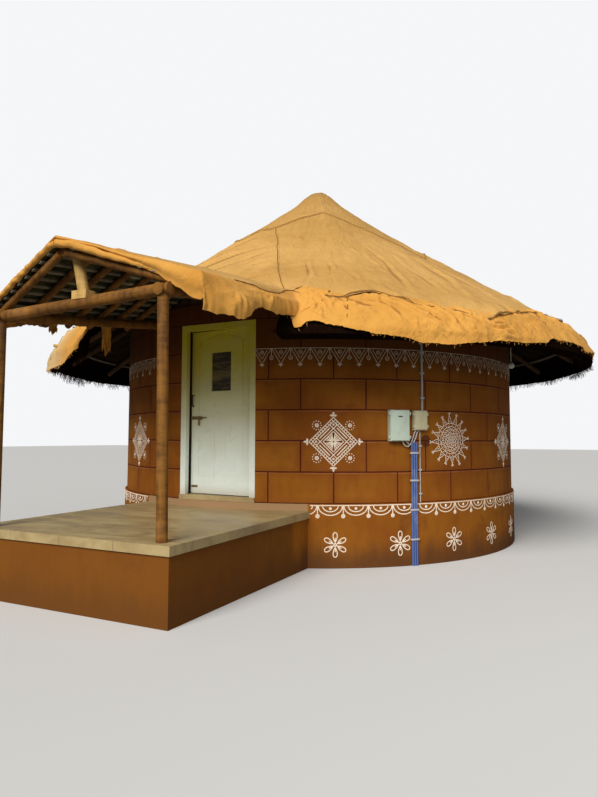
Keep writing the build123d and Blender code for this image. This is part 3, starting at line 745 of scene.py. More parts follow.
def on_roof(az, way, lift):
    """The point at an azimuth and a distance down from the apex, lifted off the canvas's line."""
    radius, height, out, up = roof_line(way)
    return Vector((*plan(az, radius + lift * out), height + lift * up))


def porch_top(x, y):
    """Height of the porch roof's canvas before it is draped."""
    slope = SLOPE_RIGHT if x > 0 else SLOPE_LEFT
    return PORCH_RIDGE + PORCH_RISE * (y - TRUSS_Y) - slope * abs(x)


# Folds in cloth
class Fold:
    """A ridge with a hollow beside it, from one point of a sheet to another."""

    def __init__(self, start, end, width, height):
        self.start = Vector(start)
        self.way = Vector(end) - self.start
        self.length = self.way.length
        self.way.normalize()
        self.width = width
        self.height = height

    def rise(self, point):
        off = point - self.start
        along = off.dot(self.way) / self.length
        if not 0 < along < 1:
            return 0.0
        mark = 90 * self.height + self.length
        side = off.cross(self.way) / self.width
        side += 1.1 * math.sin(4.3 * along + 7 * mark) + 0.45 * math.sin(13 * along + 3 * mark)
        ends = math.sin(math.pi * along) ** 0.7 * (0.8 + 0.2 * math.sin(9 * along + 11 * mark))
        return self.height * ends * (math.exp(-side * side) - 0.6 * math.exp(-((side - 1.6) ** 2)))


class Folds:
    """The folds of a sheet, kept by square so that a point only asks those near it."""

    def __init__(self, folds):
        self.squares = {}
        for fold in folds:
            end = fold.start + fold.way * fold.length
            reach = 3 * fold.width + 0.02
            columns, rows = [
                range(
                    math.floor((min(fold.start[k], end[k]) - reach) / FOLD_SQUARE),
                    math.floor((max(fold.start[k], end[k]) + reach) / FOLD_SQUARE) + 1,
                )
                for k in (0, 1)
            ]
            for i in columns:
                for j in rows:
                    self.squares.setdefault((i, j), []).append(fold)

    def rise(self, point):
        key = (math.floor(point.x / FOLD_SQUARE), math.floor(point.y / FOLD_SQUARE))
        return sum(fold.rise(point) for fold in self.squares.get(key, ()))


# Folds that show beside the porch: azimuth and radius of both ends, width and height
SHOWN_FOLDS = (
    (-20, 2.95, 10, 2.00, 0.038, 0.050), (-15, 3.00, 8, 2.15, 0.026, 0.020),
    (-11, 3.05, 12, 2.28, 0.032, 0.042), (-26, 2.3, -1, 1.50, 0.038, 0.042),
    (-24, 2.6, 2, 1.75, 0.024, 0.018), (-30, 2.0, -6, 1.42, 0.030, 0.026),
    (-5, 3.2, 14, 2.60, 0.028, 0.026), (-2, 3.3, 15, 2.75, 0.022, 0.014),
    (4, 3.5, 17, 3.0, 0.028, 0.022), (22.7, 2.45, 22.5, 3.70, 0.026, 0.034),
    (24.0, 2.95, 23.8, 3.68, 0.018, 0.014), (28.2, 2.65, 27.0, 3.70, 0.024, 0.026),
    (31.4, 3.0, 32.2, 3.66, 0.022, 0.022), (35.0, 3.2, 36.0, 3.70, 0.022, 0.016),
    (38.7, 2.4, 38.7, 3.35, 0.024, 0.018), (43.5, 2.2, 41.0, 3.72, 0.034, 0.042),
    (46.0, 2.6, 43.6, 3.72, 0.022, 0.018), (50.0, 2.3, 47.5, 3.74, 0.038, 0.030),
    (58.0, 2.4, 53.0, 3.76, 0.046, 0.034), (66.0, 2.2, 60.0, 3.72, 0.046, 0.030),
)


def roof_folds():
    """The folds that show beside the porch, and random ones all round."""
    folds = [Fold(plan(*s[:2]), plan(*s[2:4]), *s[4:]) for s in SHOWN_FOLDS]
    for _ in range(95):
        az, start = chance.uniform(74, 332), chance.uniform(1.0, 3.0)
        end = min(3.75, start + chance.uniform(0.6, 1.8))
        lean = chance.gauss(0, 8)
        width, height = chance.uniform(0.045, 0.085), chance.uniform(0.010, 0.024)
        folds.append(Fold(plan(az, start), plan(az + lean, end), width, height))
    for _ in range(44):
        az, start = chance.uniform(15, 72), chance.uniform(1.2, 3.4)
        end = min(3.70, start + chance.uniform(0.3, 0.8))
        lean = chance.uniform(-2, 6)
        width, height = chance.uniform(0.018, 0.034), chance.uniform(0.004, 0.010)
        folds.append(Fold(plan(az, start), plan(az - lean, end), width, height))
    return Folds(folds)


def hem_folds():
    """Creases in the hem, as distance round the eave and down from the seam."""
    folds = []
    for count, *ranges in (
        (150, (-0.04, 0.10), (0.30, 0.85), (0.22, 0.44), (0.016, 0.028), (0.014, 0.034)),
        (230, (-0.05, 0.34), (-0.10, 0.32), (0.08, 0.24), (0.013, 0.026), (0.007, 0.020)),
    ):
        for _ in range(count):
            at = chance.uniform(1.1, 24.4)
            down, way, drop, width, height = [chance.uniform(*ends) for ends in ranges]
            out_of_view = 6.5 <= at <= 22
            if out_of_view:
                width *= 1.9
            folds.append(Fold((at, down), (at + way, down + drop), width, height))
    for way, drop in ((-0.26, 0.20), (-0.16, 0.26), (-0.05, 0.28), (0.10, 0.26)):
        folds.append(Fold((1.72, 0.06), (1.72 + way, 0.06 + drop), 0.018, 0.028))
    return Folds(folds)


ROOF_FOLDS = roof_folds()
HEM_FOLDS = hem_folds()


def between(table, at):
    """A smooth curve through the pairs of a table."""
    if at <= table[0][0]:
        return table[0][1]
    for (a, low), (b, high) in zip(table, table[1:]):
        if at <= b:
            t = (at - a) / (b - a)
            return low + (high - low) * t * t * (3 - 2 * t)
    return table[-1][1]


def closer_in_front(share, by):
    """Spreads the lines of a grid so that they lie closer together near the front."""
    return share - by * math.sin(2 * math.pi * share) / (2 * math.pi)


# Azimuth and radius of the ring seam in front, and azimuth and height of the hem's lower edge
SEAM_MARKS = (
    (18.9, 3.757), (22.9, 3.82), (27.8, 3.85), (33.9, 3.78), (36.2, 3.83), (39.5, 3.92),
    (44.8, 3.955), (50.8, 4.00), (54.6, 3.945), (58.2, 3.90), (70.0, 3.87),
)
HEM_FEET = (
    (18.4, 2.77), (19.6, 2.72), (20.5, 2.69), (21.2, 2.56), (21.8, 2.55), (23.4, 2.613),
    (27.4, 2.564), (30.1, 2.527), (32.9, 2.491), (35.7, 2.476), (39.3, 2.421), (43.1, 2.413),
    (47.2, 2.449), (52.1, 2.488), (56.8, 2.498), (61.6, 2.524), (64.5, 2.590), (72, 2.59),
    (78, 2.55), (90, 2.60), (105, 2.55), (125, 2.48), (150, 2.53), (180, 2.47), (205, 2.53),
    (230, 2.48), (255, 2.53), (280, 2.47), (300, 2.50), (312, 2.44), (319, 2.39), (326, 2.37),
    (334, 2.36), (341.6, 2.52),
)


def seam_radius(az):
    """Where the upper canvas is sewn to the hem: it wanders up and down round the roof."""
    a = math.radians(az)
    wander = SEAM_R + 0.055 * math.sin(3.1 * a + 0.9) + 0.040 * math.sin(8.3 * a + 1.9)
    wander += 0.02 * math.sin(17 * a)
    own = clamp((az - 58) / 14)
    return (1 - own) * between(SEAM_MARKS, az) + own * wander


def hem_start(az):
    """The distance down from the apex at which the hem begins, under the upper canvas."""
    return down_to(seam_radius(az) - 0.06)


def hem_foot(az):
    """Height of the hem's lower edge round the roof."""
    rag = 0.014 * uneven(az * 0.55, 3.0) + 0.010 * uneven(az * 1.9, 7.0)
    return between(HEM_FEET, az) + rag


def hem_end(az):
    """The distance down from the apex at which the hem ends."""
    return LINE_ENDS[2] + RIM[1] - hem_foot(az)


def upper_rise(az, radius):
    """How far the upper canvas stands off its line."""
    point = Vector(plan(az, radius))
    lift = ROOF_FOLDS.rise(point)
    seat = Vector((point.x, point.y, 0.0))
    sag = 0.012 * (math.cos(math.radians(16 * (az - 11.25))) * min(1.0, radius / 2.5))
    rumple = 0.020 * noise.fractal(seat * 1.3, 0.6, 2.0, 4) + 0.004 * noise.noise(seat * 9)
    edge = bell(radius - seam_radius(az), 0.13)
    pucker = 0.016 * edge * math.sin(math.radians(az) * 62 + 6 * noise.noise(seat * 3))
    cap = 0.030 * bell(radius - 0.20, 0.13)
    return 0.006 + cap + clamp(lift + sag + rumple + pucker, -0.004, 0.062)


def hem_rise(az, down, length):
    """How far the gathered hem stands off its line, at a distance down from its top."""
    a = math.radians(az)
    seat = Vector((HEM_R * a, down, 0.0))
    slant = 46 * a + 6 * down + 3.4 * noise.noise(seat * 0.9)
    gather = 0.5 + 0.5 * uneven(2.2 * a, 1.0, 0.5)
    ripple = math.sin(slant) + 0.4 * math.sin(2.7 * slant + 1.0)
    share = down / length
    lift = HEM_FOLDS.rise(seat.xy)
    lift += 0.009 * gather * ripple * (0.3 + 0.7 * share)
    lift += 0.018 * noise.fractal(seat * 2.0, 0.7, 2.1, 4)
    return 0.006 + clamp(lift + 0.016 * share**4, -0.006, 0.060)


def hidden_by_porch(point):
    """Whether a point of the main roof lies in the notch under the porch's cloth."""
    return (
        point.y < 0
        and abs(point.x) < PORCH_HALF + 0.01
        and math.hypot(point.x, point.y) > 2.9
        and point.z < porch_top(point.x, point.y) - 0.02
    )


def roof_cloth():
    """The upper canvas, from the apex to the seam."""
    def place(u, v):
        az = 360 * closer_in_front(u, 0.6)
        way = down_to(seam_radius(az) + 0.02) * v
        radius = roof_line(way)[0]
        lift = upper_rise(az, radius) if radius > 0.05 else 0.012
        depth = ROOF_FOLDS.rise(Vector(plan(az, radius))) / 0.022
        if v > 0.99:
            under = hem_rise(az, 0.09, HEM_DROP) if NOTCH < az < 360 - NOTCH else 0.0
            lift = max(lift, under) + 0.007
        return on_roof(az, way, lift), clamp(depth, -1.0)

    cloth = mend(grid_piece("roof_cloth", 500, 96, place))
    delete_faces(cloth, hidden_by_porch)
    smooth(thicken(cloth), 60)
    dress(cloth, CANVAS, instead_of=("roof_canvas",))


def hem_cloth():
    """The gathered hem below the seam, which turns over the eave."""
    notch = math.degrees(math.asin((PORCH_HALF + 0.015) / EAVE_R))

    def place(u, v):
        az = notch + (360 - 2 * notch) * closer_in_front(u, 0.55)
        start = hem_start(az)
        length = hem_end(az) - start
        depth = HEM_FOLDS.rise(Vector((HEM_R * math.radians(az), length * v))) / 0.014
        lift = hem_rise(az, length * v, length) - 0.006 * (1 - v) ** 6
        return on_roof(az, start + length * v, lift), clamp(depth, -1.0)

    cloth = grid_piece("hem_cloth", 1080, 34, place)
    smooth(thicken(cloth, THICK_CLOTH), 60)
    dress(cloth, HEM, instead_of=("canvas_hem",))


def hem_seam(name, az):
    """A short upright seam of the hem: a thread that lies in a pinch of the cloth."""
    def place(u, v):
        start = down_to(seam_radius(az) - 0.01)
        end = hem_end(az)
        way = start + (end - 0.13 - start) * v
        wander = 0.16 * uneven(6 * v, az) - 0.5 * v
        wide = 0.20 * (0.35 + 0.9 * abs(uneven(11 * v, az, 2.0)))
        turn = az + wander + wide * (u - 0.5)
        return on_roof(turn, way, hem_rise(turn, way - start, end - start) + 0.0060)

    return thicken(grid_piece(name, 2, 26, place))


def hem_seams():
    """The nine upright seams round the hem."""
    turns = (29.0, 66.0, 103.0, 140.0, 178.0, 215.0, 252.0, 289.0, 325.0)
    threads = [hem_seam(f"hem_seam_{number}", az) for number, az in enumerate(turns)]
    dress(smooth(join(threads, "hem_seams"), 80), THREAD)


def ribbon(name, marks, width, raised, wave=0.0):
    """A strip of cloth on the roof along marks of azimuth and radius."""
    points = []
    for first, second in zip(marks, marks[1:]):
        start, end = Vector(plan(*first)), Vector(plan(*second))
        count = max(1, round((end - start).length / 0.035))
        points += [start.lerp(end, i / count) for i in range(count)]
    points.append(Vector(plan(*marks[-1])))
    last = len(points) - 1

    def place(u, v):
        k = min(last, round(v * last))
        ahead = (points[min(k + 1, last)] - points[max(k - 1, 0)]).normalized()
        ragged = 1 + 0.45 * uneven(k * 0.31, u * 2.0, width * 40)
        wander = wave * uneven(k * 0.16, width)
        shift = (u - 0.5) * width * ragged + wander
        spot = points[k] + Vector((-ahead.y, ahead.x)) * shift
        az = math.degrees(math.atan2(spot.x, -spot.y)) % 360
        way = down_to(spot.length)
        crown = 0.005 - 0.010 * (u - 0.5) ** 2
        lift = max(upper_rise(az, spot.length), 0.0) + crown
        return on_roof(az, way, lift + raised)

    return thicken(grid_piece(name, 3, last, place))


def seam_lines():
    """The cap's edge and the upright seams, each a strip and a thread, and the ring's thread."""
    cap = [
        (-62, 1.75), (-17, 1.53), (-10, 1.43), (-2, 1.35), (11, 1.13), (28.5, 0.93), (43.5, 1.2),
        (54.4, 1.52), (61, 1.9), (66, 2.25), (92, 1.75), (128, 1.45), (165, 1.6), (200, 1.4),
        (238, 1.7), (270, 1.5), (298, 1.75),
    ]
    uprights = [
        [(-3, 1.37), (7.3, 1.88), (12.6, 2.48), (15.8, 3.08), (17.7, 3.44), (19.5, 3.82)],
        [(118, 1.55), (120, 2.5), (117, 3.85)],
        [(212, 1.48), (209, 2.6), (213, 3.85)],
        [(286, 1.62), (290, 2.7), (288, 3.85)],
    ]
    ring = [(az, seam_radius(az) + 0.012) for az in range(NOTCH, 361 - NOTCH)]
    strips, threads = [], []
    for number, marks in enumerate([cap] + uprights):
        strips.append(ribbon(f"strip_{number}", marks, 0.034, 0.0))
        threads.append(ribbon(f"thread_{number}", marks, 0.0050, 0.0060, 0.012))
    threads.append(ribbon("thread_ring", ring, 0.0075, 0.0110, 0.014))
    dress(smooth(join(strips, "canvas_welts"), 60), CANVAS)
    dress(smooth(join(threads, "canvas_seams"), 80), THREAD)


def ragged_threads():
    """Loose threads and frayed tufts along the ring seam and the lower edge of the hem."""
    lines = []
    for _ in range(900):
        az = chance.uniform(NOTCH, 360 - NOTCH)
        if chance.random() < 0.5:
            way = down_to(seam_radius(az) + chance.uniform(0, 0.02))
            start = on_roof(az, way, 0.030)
            step = (chance.gauss(0, 0.014), chance.gauss(0, 0.014), chance.uniform(-0.04, 0.004))
        else:
            start = on_roof(az, hem_end(az) - 0.004, 0.020)
            step = (chance.gauss(0, 0.012), chance.gauss(0, 0.012), -chance.uniform(0.01, 0.042))
        step = Vector(step)
        bend = Vector((chance.gauss(0, 0.006), chance.gauss(0, 0.006), -0.004))
        lines.append(([start, start + 0.5 * step + bend, start + step], False))
    dress(wire_mesh("frayed_threads", lines, 0.0018, 0), HEM)


# Porch canvas

# How far the cloth hangs over the right rake at x, how far the flaps fall and how far the strip
# laps over the right edge of the roof, at y
RAKE_HANG = (
    (0.0, 0.050), (0.19, 0.044), (0.42, 0.034), (0.65, 0.062), (0.91, 0.107), (1.01, 0.150),
    (1.10, 0.180), (1.24, 0.235),
)
FALL_RIGHT = (
    (-5.24, 0.296), (-5.14, 0.313), (-5.04, 0.332), (-4.89, 0.357), (-4.78, 0.372),
    (-4.65, 0.337), (-4.57, 0.290), (-4.485, 0.262), (-4.40, 0.241), (-4.27, 0.271),
    (-4.15, 0.293), (-3.85, 0.290),
)
FALL_LEFT = ((-5.15, 0.12), (-4.85, 0.16), (-4.6, 0.11), (-4.35, 0.13), (-4.1, 0.07), (-3.85, 0.10))
LAP_RIGHT = ((-5.0, 0.01), (-4.6, 0.05), (-4.25, 0.11), (-4.0, 0.11), (-3.65, 0.03))


def valley_y(x):
    """Where the porch roof meets the main roof, at x."""
    return -2.93 - 0.40 * abs(x)


def rake_front(x):
    """Where the cloth turns down in front, at x."""
    return RAKE_Y + RAKE_SWEEP * abs(x) - 0.012


def flap_path():
    """How the flap falls: shares of the way out and down, and the slope in radians."""
    steps = 30
    out = down = 0.0
    path = []
    for i in range(steps + 1):
        t = i / steps
        if t < 0.2:
            slope = 19 + (BEND - 19) * t / 0.2
        else:
            slope = BEND + 70 * clamp((t - 0.50) / 0.5) ** 1.2
        slope = math.radians(slope)
        path.append((out, down, slope))
        out += math.cos(slope) / steps
        down += math.sin(slope) / steps
    return [(o / path[-1][1], d / path[-1][1], s) for o, d, s in path]


FLAP_PATH = flap_path()


def along_flap(share):
    """Out, down and slope at a share of the flap."""
    at = clamp(share, 0.0, 0.9999) * (len(FLAP_PATH) - 1)
    i = int(at)
    return [a + (b - a) * (at - i) for a, b in zip(FLAP_PATH[i], FLAP_PATH[i + 1])]


def hang(x):
    """How far the cloth hangs down over the rake at x."""
    return between(RAKE_HANG, x) if x > 0 else 0.045


def porch_rise(s, y):
    """Soft folds that fan out from the front corner, deeper towards the back."""
    across, back = abs(s) - 1.25, y + 5.95
    far = math.hypot(across, back)
    seat = Vector((s, y, 0.0))
    turn = 24 * math.atan2(across, back) + 4.5 * noise.noise(seat * 0.8)
    crest = (1 - abs(math.sin(turn))) ** 1.6
    strength = max(0.0, 0.25 + 1.1 * uneven(turn * 0.4, 1.1 * y, 1.0))
    depth = 0.005 + 0.022 * clamp((far - 0.5) / 0.9)
    fade = clamp((valley_y(min(PORCH_HALF, abs(s))) + 0.10 - y) / 0.30)
    fade *= min(1.0, (abs(s) / 0.16) ** 2)
    crumple = 0.012 * noise.fractal(seat * 1.8, 0.8, 2.0, 3)
    return fade * (depth * strength * (crest - 0.3) + crumple)


def rest_height(x, y):
    """Height of the main roof's cloth at x and y, or far below where there is none."""
    radius = math.hypot(x, y)
    if radius > EAVE_R - 0.01:
        return -9.0
    az = math.degrees(math.atan2(x, -y))
    way = down_to(radius)
    lift = upper_rise(az, radius)
    if radius > seam_radius(az) - 0.08:
        lift = max(lift, hem_rise(az, way - hem_start(az), HEM_DROP))
    return roof_line(way)[1] + 1.3 * lift + 0.010


def pleats(y, share, foot):
    """Pleats that fan out below two places where the flap is gathered."""
    rise = 0.0
    fall_per_length = 0.85
    for middle, size in ((-4.80, 0.15), (-4.22, 0.10)):
        across, below = y - middle, (share - 0.52) * foot / fall_per_length
        far = math.hypot(across, below)
        fan = math.cos(6 * math.atan2(below, across)) * min(1.0, far / 0.07)
        window = bell(far, size) * clamp((below + 0.02) / 0.05)
        rise += window * (0.017 * fan + 0.020)
    return rise


def porch_spot(s, y, lift):
    """A point of the porch's cloth: s runs across the sheet and y along it, as if it lay flat.

    lift raises it off the cloth, as a strip or a thread on top of it.
    """
    side = 1 if s > 0 else -1
    x = clamp(s, -PORCH_HALF, PORCH_HALF)
    beyond = abs(s) - abs(x)
    share = beyond / FLAP
    front = rake_front(x)
    down = clamp((front - y) / TURN_DOWN)
    rise = porch_rise(s, y)
    y = max(y, front)
    top = porch_top(x, y) - 0.004 * bell(x, 0.10) + 0.016 + max(-0.006, rise)
    top = max(top, rest_height(x, y) + 0.5 * max(0.0, rise)) + lift
    z, out = top, 0.0
    if beyond:
        seat = Vector((y * 8, side, 0.0))
        foot = between(FALL_RIGHT if side > 0 else FALL_LEFT, y)
        foot += share * (0.014 * noise.noise(seat) + 0.010 * noise.noise(seat * 3.3))
        corner = math.exp((front - y) / 0.26)
        far, fall, slope = along_flap(share)
        stands = 1.2 * rise * min(1.0, share / 0.25) + lift
        if side > 0:
            stands += pleats(y, share, foot)
        out = foot * far * (1 - 0.75 * corner) + stands * math.sin(slope)
        out += 0.008 * share**3 * math.sin(38 * y + 4 * noise.noise(seat))
        z = top - foot * fall + (stands - lift) * math.cos(slope) - lift * (1 - math.cos(slope))
        floor = rest_height(x + side * out, y)
        if z < floor:
            out += 0.8 * (floor - z)
            z = max(z, rest_height(x + side * out, y) + lift)
    if down:
        y = front - 0.020 * math.sin(math.pi * min(1.0, 1.3 * down)) + 0.030 * down * down
        y -= (0.9 * rise + lift) * down
        z -= hang(x) * (1 - min(1.0, share)) * down
    return Vector((x + side * out, y, z))


def porch_edges(u, v):
    """Where a grid over the porch's cloth lies: its lines follow the seam of the edge strip."""
    side = 1 if u > 0.5 else -1
    half = abs(2 * u - 1)

    def along(x):
        front = rake_front(min(PORCH_HALF, x))
        if v < FRONT_SHARE:
            return front - TURN_DOWN + (TURN_DOWN + RAKE_STRIP) * v / FRONT_SHARE
        strip = front + RAKE_STRIP
        back = valley_y(min(PORCH_HALF, x)) + 0.10
        return strip + (back - strip) * (v - FRONT_SHARE) / (1 - FRONT_SHARE)

    edge = PORCH_HALF + (between(LAP_RIGHT, along(PORCH_HALF)) if side > 0 else 0.03)
    if half < SEAM_SHARE:
        s = edge * half / SEAM_SHARE
    else:
        s = edge + (PORCH_HALF + FLAP - edge) * (half - SEAM_SHARE) / (1 - SEAM_SHARE)
    return side * s, along(s)


def on_canvas(u, v):
    return abs(2 * u - 1) < SEAM_SHARE + 0.02 and v > FRONT_SHARE - 0.02


def on_strip(u, v):
    return abs(2 * u - 1) > SEAM_SHARE or v < FRONT_SHARE


def porch_cloth():
    """The canvas on the porch, the strip sewn along its edges and the thread between them."""
    def sheet(name, lift, keep):
        def place(u, v):
            s, y = porch_edges(u, v)
            return porch_spot(s, y, lift), clamp((porch_rise(s, y) + 0.004) / 0.030, -0.5)

        return smooth(thicken(grid_piece(name, 200, 170, place, keep), THICK_CLOTH), 60)

    canvas = sheet("porch_cloth", 0.0, on_canvas)
    dress(canvas, CANVAS, instead_of=("porch_canvas",))
    strip = sheet("porch_valance", 0.006, on_strip)
    dress(strip, HEM)

    threads = []
    for side in (-1, 1):
        def stitched(u, v, side=side):
            across = 0.009 * (u - 0.5) * (1 + 0.4 * math.sin(70 * v))
            wander = 0.005 * uneven(30 * v, side)
            s, y = porch_edges(0.5 + side * SEAM_SHARE / 2, 0.28 + 0.72 * v)
            return porch_spot(s + side * (across + wander), y, 0.012)

        thread = grid_piece("porch_seam", 2, 120, stitched)
        if side < 0:
            mend(thread, 0.00001)
        threads.append(thicken(thread))
    dress(smooth(join(threads, "porch_seam"), 80), THREAD)


def slimmer(share):
    """How thick the right roll is at a share of its length."""
    return 1.0 - 0.75 * share**3


def rolled_rake():
    """The lumpy rolled edge of the cloth along both rakes."""
    rolls = []
    for side, end, thick, taper in ((-1, 1.33, 0.027, None), (1, 0.95, 0.034, slimmer)):
        points = []
        count = int(end / 0.02)
        for i in range(count + 1):
            x = side * end * i / count
            front = RAKE_Y + RAKE_SWEEP * abs(x)
            seat = Vector((x * 7, side, 0.0))
            sink = 0.022 + 0.035 * bell(x, 0.08)
            back = 0.0
            if side > 0:
                sink += 0.035 * i / count
                back = 0.030 * (i / count) ** 2
            y = front - 0.012 + back + 0.010 * noise.noise(seat)
            z = porch_top(x, front) - sink + 0.010 * noise.noise(seat * 1.7)
            points.append(Vector((x, y, z)))
        rolls.append(wire_mesh("rake_roll", [(points, False)], thick, 4, taper))
    roll = join(rolls, "rake_roll")
    for vertex in roll.data.vertices:
        lump = 0.012 * noise.fractal(vertex.co * 11, 0.8, 2.0, 3)
        twist = 0.004 * math.sin(42 * vertex.co.x + 30 * vertex.co.z)
        vertex.co += Vector((0, -1, 0.3)) * (lump + twist)
    dress(smooth(roll, 80), HEM)


def torn_end(name, x, y, foot, wide):
    """A torn end of cloth that hangs below the left side of the porch."""
    top = porch_top(x, y) - 0.02
    drop = top - foot

    def place(u, v):
        seat = Vector((x, 3 * u, 4 * v))
        ragged = 1 + 0.35 * uneven(x, 5 * u, 2.0)
        narrow = 1 - 0.35 * v * v
        return Vector((
            x + 0.025 * noise.noise(seat) + 0.02 * math.sin(9 * u) * v,
            y + wide * (u - 0.5) * narrow + 0.02 * noise.noise(seat * 1.3),
            top - drop * v * ragged,
        ))

    scrap = smooth(thicken(grid_piece(name, 12, 14, place)), 60)
    dress(scrap, HEM)
    1.05 * drop


def left_scraps():
    """A peeled stick and torn ends of cloth that show below the left side of the porch."""
    line = [on_wall(-27, 2.60, 0.80), on_wall(-29, 2.625, 1.00), on_wall(-31.5, 2.66, 1.12)]
    stick = wire_mesh("eave_stick", [(line, False)], 0.020, 4)
    modify(stick, "SUBSURF", levels=1)
    dress(smooth(stick, 60), BARE)
    torn_end("torn_end_0", -1.16, -3.62, 2.50, 0.17)
    torn_end("torn_end_1", -1.24, -4.35, 2.62, 0.13)


# Grass fringe below the eave
def grass_bundle(name, count):
    """Short straws that hang from one spot, each a thin cone of three sides."""
    straws = []
    for _ in range(count):
        deselect()
        length = chance.uniform(0.03, 0.20)
        bpy.ops.mesh.primitive_cone_add(
            vertices=3,
            radius1=0.0026,
            radius2=0.0010,
            depth=length,
            location=(chance.gauss(0, 0.06), chance.uniform(-0.055, 0.055), -length / 2),
            rotation=(chance.gauss(0.06, 0.28), chance.gauss(0, 0.34), chance.uniform(0, 3)),
        )
        straws.append(bpy.context.active_object)
    return settle(join(straws, name))


def eave_fringe():
    """Straw that hangs from the butt of the thatch, thin where the hem covers it in front."""
    bundles = [grass_bundle(f"bundle_{i}", 30) for i in range(5)]
    tufts = []
    az = NOTCH
    while az < 360 - NOTCH:
        source = bundles[chance.randrange(5)]
        covered = az < 74
        lift = THATCH_FOOT + (0.05 if covered else 0.0) + chance.uniform(0.01, 0.06)
        longer = chance.uniform(0.25, 0.75) * (1.15 if az > 285 else 1.0)
        if covered:
            longer *= 0.6
        place = (
            Matrix.Translation(on_wall(az, lift, chance.uniform(0.98, 1.06)))
            @ Matrix.Rotation(math.radians(az + chance.uniform(-25, 25)), 4, "Z")
            @ Matrix.Diagonal((1, 1, longer, 1))
        )
        tufts.append(copy_of(source, f"tuft_{len(tufts)}", place))
        az += chance.uniform(1.2, 3.0)
    for bundle in bundles:
        drop(bundle)
    dress(join(tufts, "grass_fringe"), GRASS)


# White relief on the wall
def turned(turn, along, aside=0.0, x=0.0, z=0.0):
    """The point along and aside from x, z once the drawing is turned, in degrees."""
    a = math.radians(turn)
    return (
        x + along * math.cos(a) - aside * math.sin(a),
        z + along * math.sin(a) + aside * math.cos(a),
    )


class Relief:
    """Strokes drawn flat, right and up in metres, that are then laid on the round wall."""

    def __init__(self, stroke):
        self.lines = {}
        self.dots = []
        self.stroke = stroke

    def line(self, *points, closed=False, stroke=None):
        """A stroke through the points, cut into short pieces so that it can bend with the wall."""
        places = []
        for (x0, z0), (x1, z1) in zip(points, points[1:] + (points[:1] if closed else ())):
            count = max(1, math.ceil(math.hypot(x1 - x0, z1 - z0) / 0.045))
            for i in range(count):
                places.append((x0 + (x1 - x0) * i / count, 0.0, z0 + (z1 - z0) * i / count))
        if not closed:
            places.append((points[-1][0], 0.0, points[-1][1]))
        self.lines.setdefault(stroke or self.stroke, []).append((places, closed))
        return self

    def arc(self, x, z, radius, start=0.0, end=360.0, squash=1.0, count=None):
        count = count or max(6, int(abs(end - start) / 18))
        whole = abs(end - start) >= 360
        points = []
        for i in range(count if whole else count + 1):
            a = math.radians(start + (end - start) * i / count)
            points.append((x + radius * math.cos(a), z + squash * radius * math.sin(a)))
        return self.line(*points, closed=whole)

    def dot(self, x, z, radius):
        self.dots.append((x, z, radius))
        return self

    def petal(self, x, z, turn, near, far, half, count):
        """A pointed oval from near to far along turn."""
        points = []
        for i in range(2 * count):
            t = i / count if i <= count else 2 - i / count
            side = half * math.sin(math.pi * t) * (1 if i <= count else -1)
            points.append(turned(turn, near + (far - near) * t, side, x, z))
        return self.line(*points, closed=True)

    def pendant(self, x, foot, z, ring, bead):
        """A short line down to a ring with a bead in it."""
        self.line((x, -0.004), (x, foot))
        return self.arc(x, z, ring).dot(x, z, bead)

    def make(self, name):
        parts = [wire_mesh(name, lines, stroke, 0) for stroke, lines in self.lines.items()]
        for x, z, radius in self.dots:
            deselect()
            bpy.ops.mesh.primitive_uv_sphere_add(
                segments=10, ring_count=6, radius=radius, location=(x, 0, z)
            )
            parts.append(bpy.context.active_object)
        obj = settle(join(parts, name))
        obj.data.transform(Matrix.Diagonal((1, 0.45, 1, 1)))
        return smooth(obj, 50)


def lay_on_wall(obj, radius=HUT_R):
    """Bends a flat relief round the wall, with x = 0 at the door."""
    for vertex in obj.data.vertices:
        x, y, z = vertex.co
        vertex.co = on_wall(math.degrees(x / radius), z, -y, radius)
    return obj


def diamond_relief():
    """A standing square with a ladder border, corner squares, bars and four open petals."""
    made = Relief(0.0052)
    half = math.sqrt(0.5)

    def rule(quarter, *spots, stroke=None):
        """A line across the standing square, turned by quarters."""
        points = []
        for p, q in spots:
            for _ in range(quarter):
                p, q = -q, p
            points.append((half * (p - q), half * (p + q)))
        made.line(*points, stroke=stroke)

    for k in range(4):
        rule(k, (0.199, -0.199), (0.199, 0.199))
        rule(k, (0.168, -0.168), (0.168, 0.168))
        for i in range(1, 12):
            q = -0.199 + 0.398 * i / 12
            rule(k, (0.168, q), (0.199, q), stroke=0.0042)
        rule(k, (0.141, -0.084), (0.141, 0.084), stroke=0.0066)
        rule(k, (0.108, -0.168), (0.108, 0.168), stroke=0.0050)
        rule(k, (0.084, -0.084), (0.084, 0.084), stroke=0.0046)
        for q in (-0.050, -0.026, 0.0, 0.026, 0.050):
            rule(k, (0.010, q * 0.12), (0.080, q), stroke=0.0056)
        made.dot(*turned(90 * k, 0.198), 0.014)
        tip = turned(90 * k, 0.300)
        for spread, far in ((-84, 0.038), (0, 0.044), (84, 0.038)):
            made.petal(*tip, 90 * k + spread, 0.0, far, 0.007, 5)
        made.dot(*tip, 0.011)
    for sx, sz in ((1, 1), (1, -1), (-1, 1), (-1, -1)):
        x, z = sx * 0.192, sz * 0.188
        made.arc(x, z, 0.019).dot(x, z, 0.011)
        for i in range(11):
            made.dot(*turned(i * 360 / 11, 0.051, 0.0, x, z), 0.0072)
    return made.make("diamond_relief")


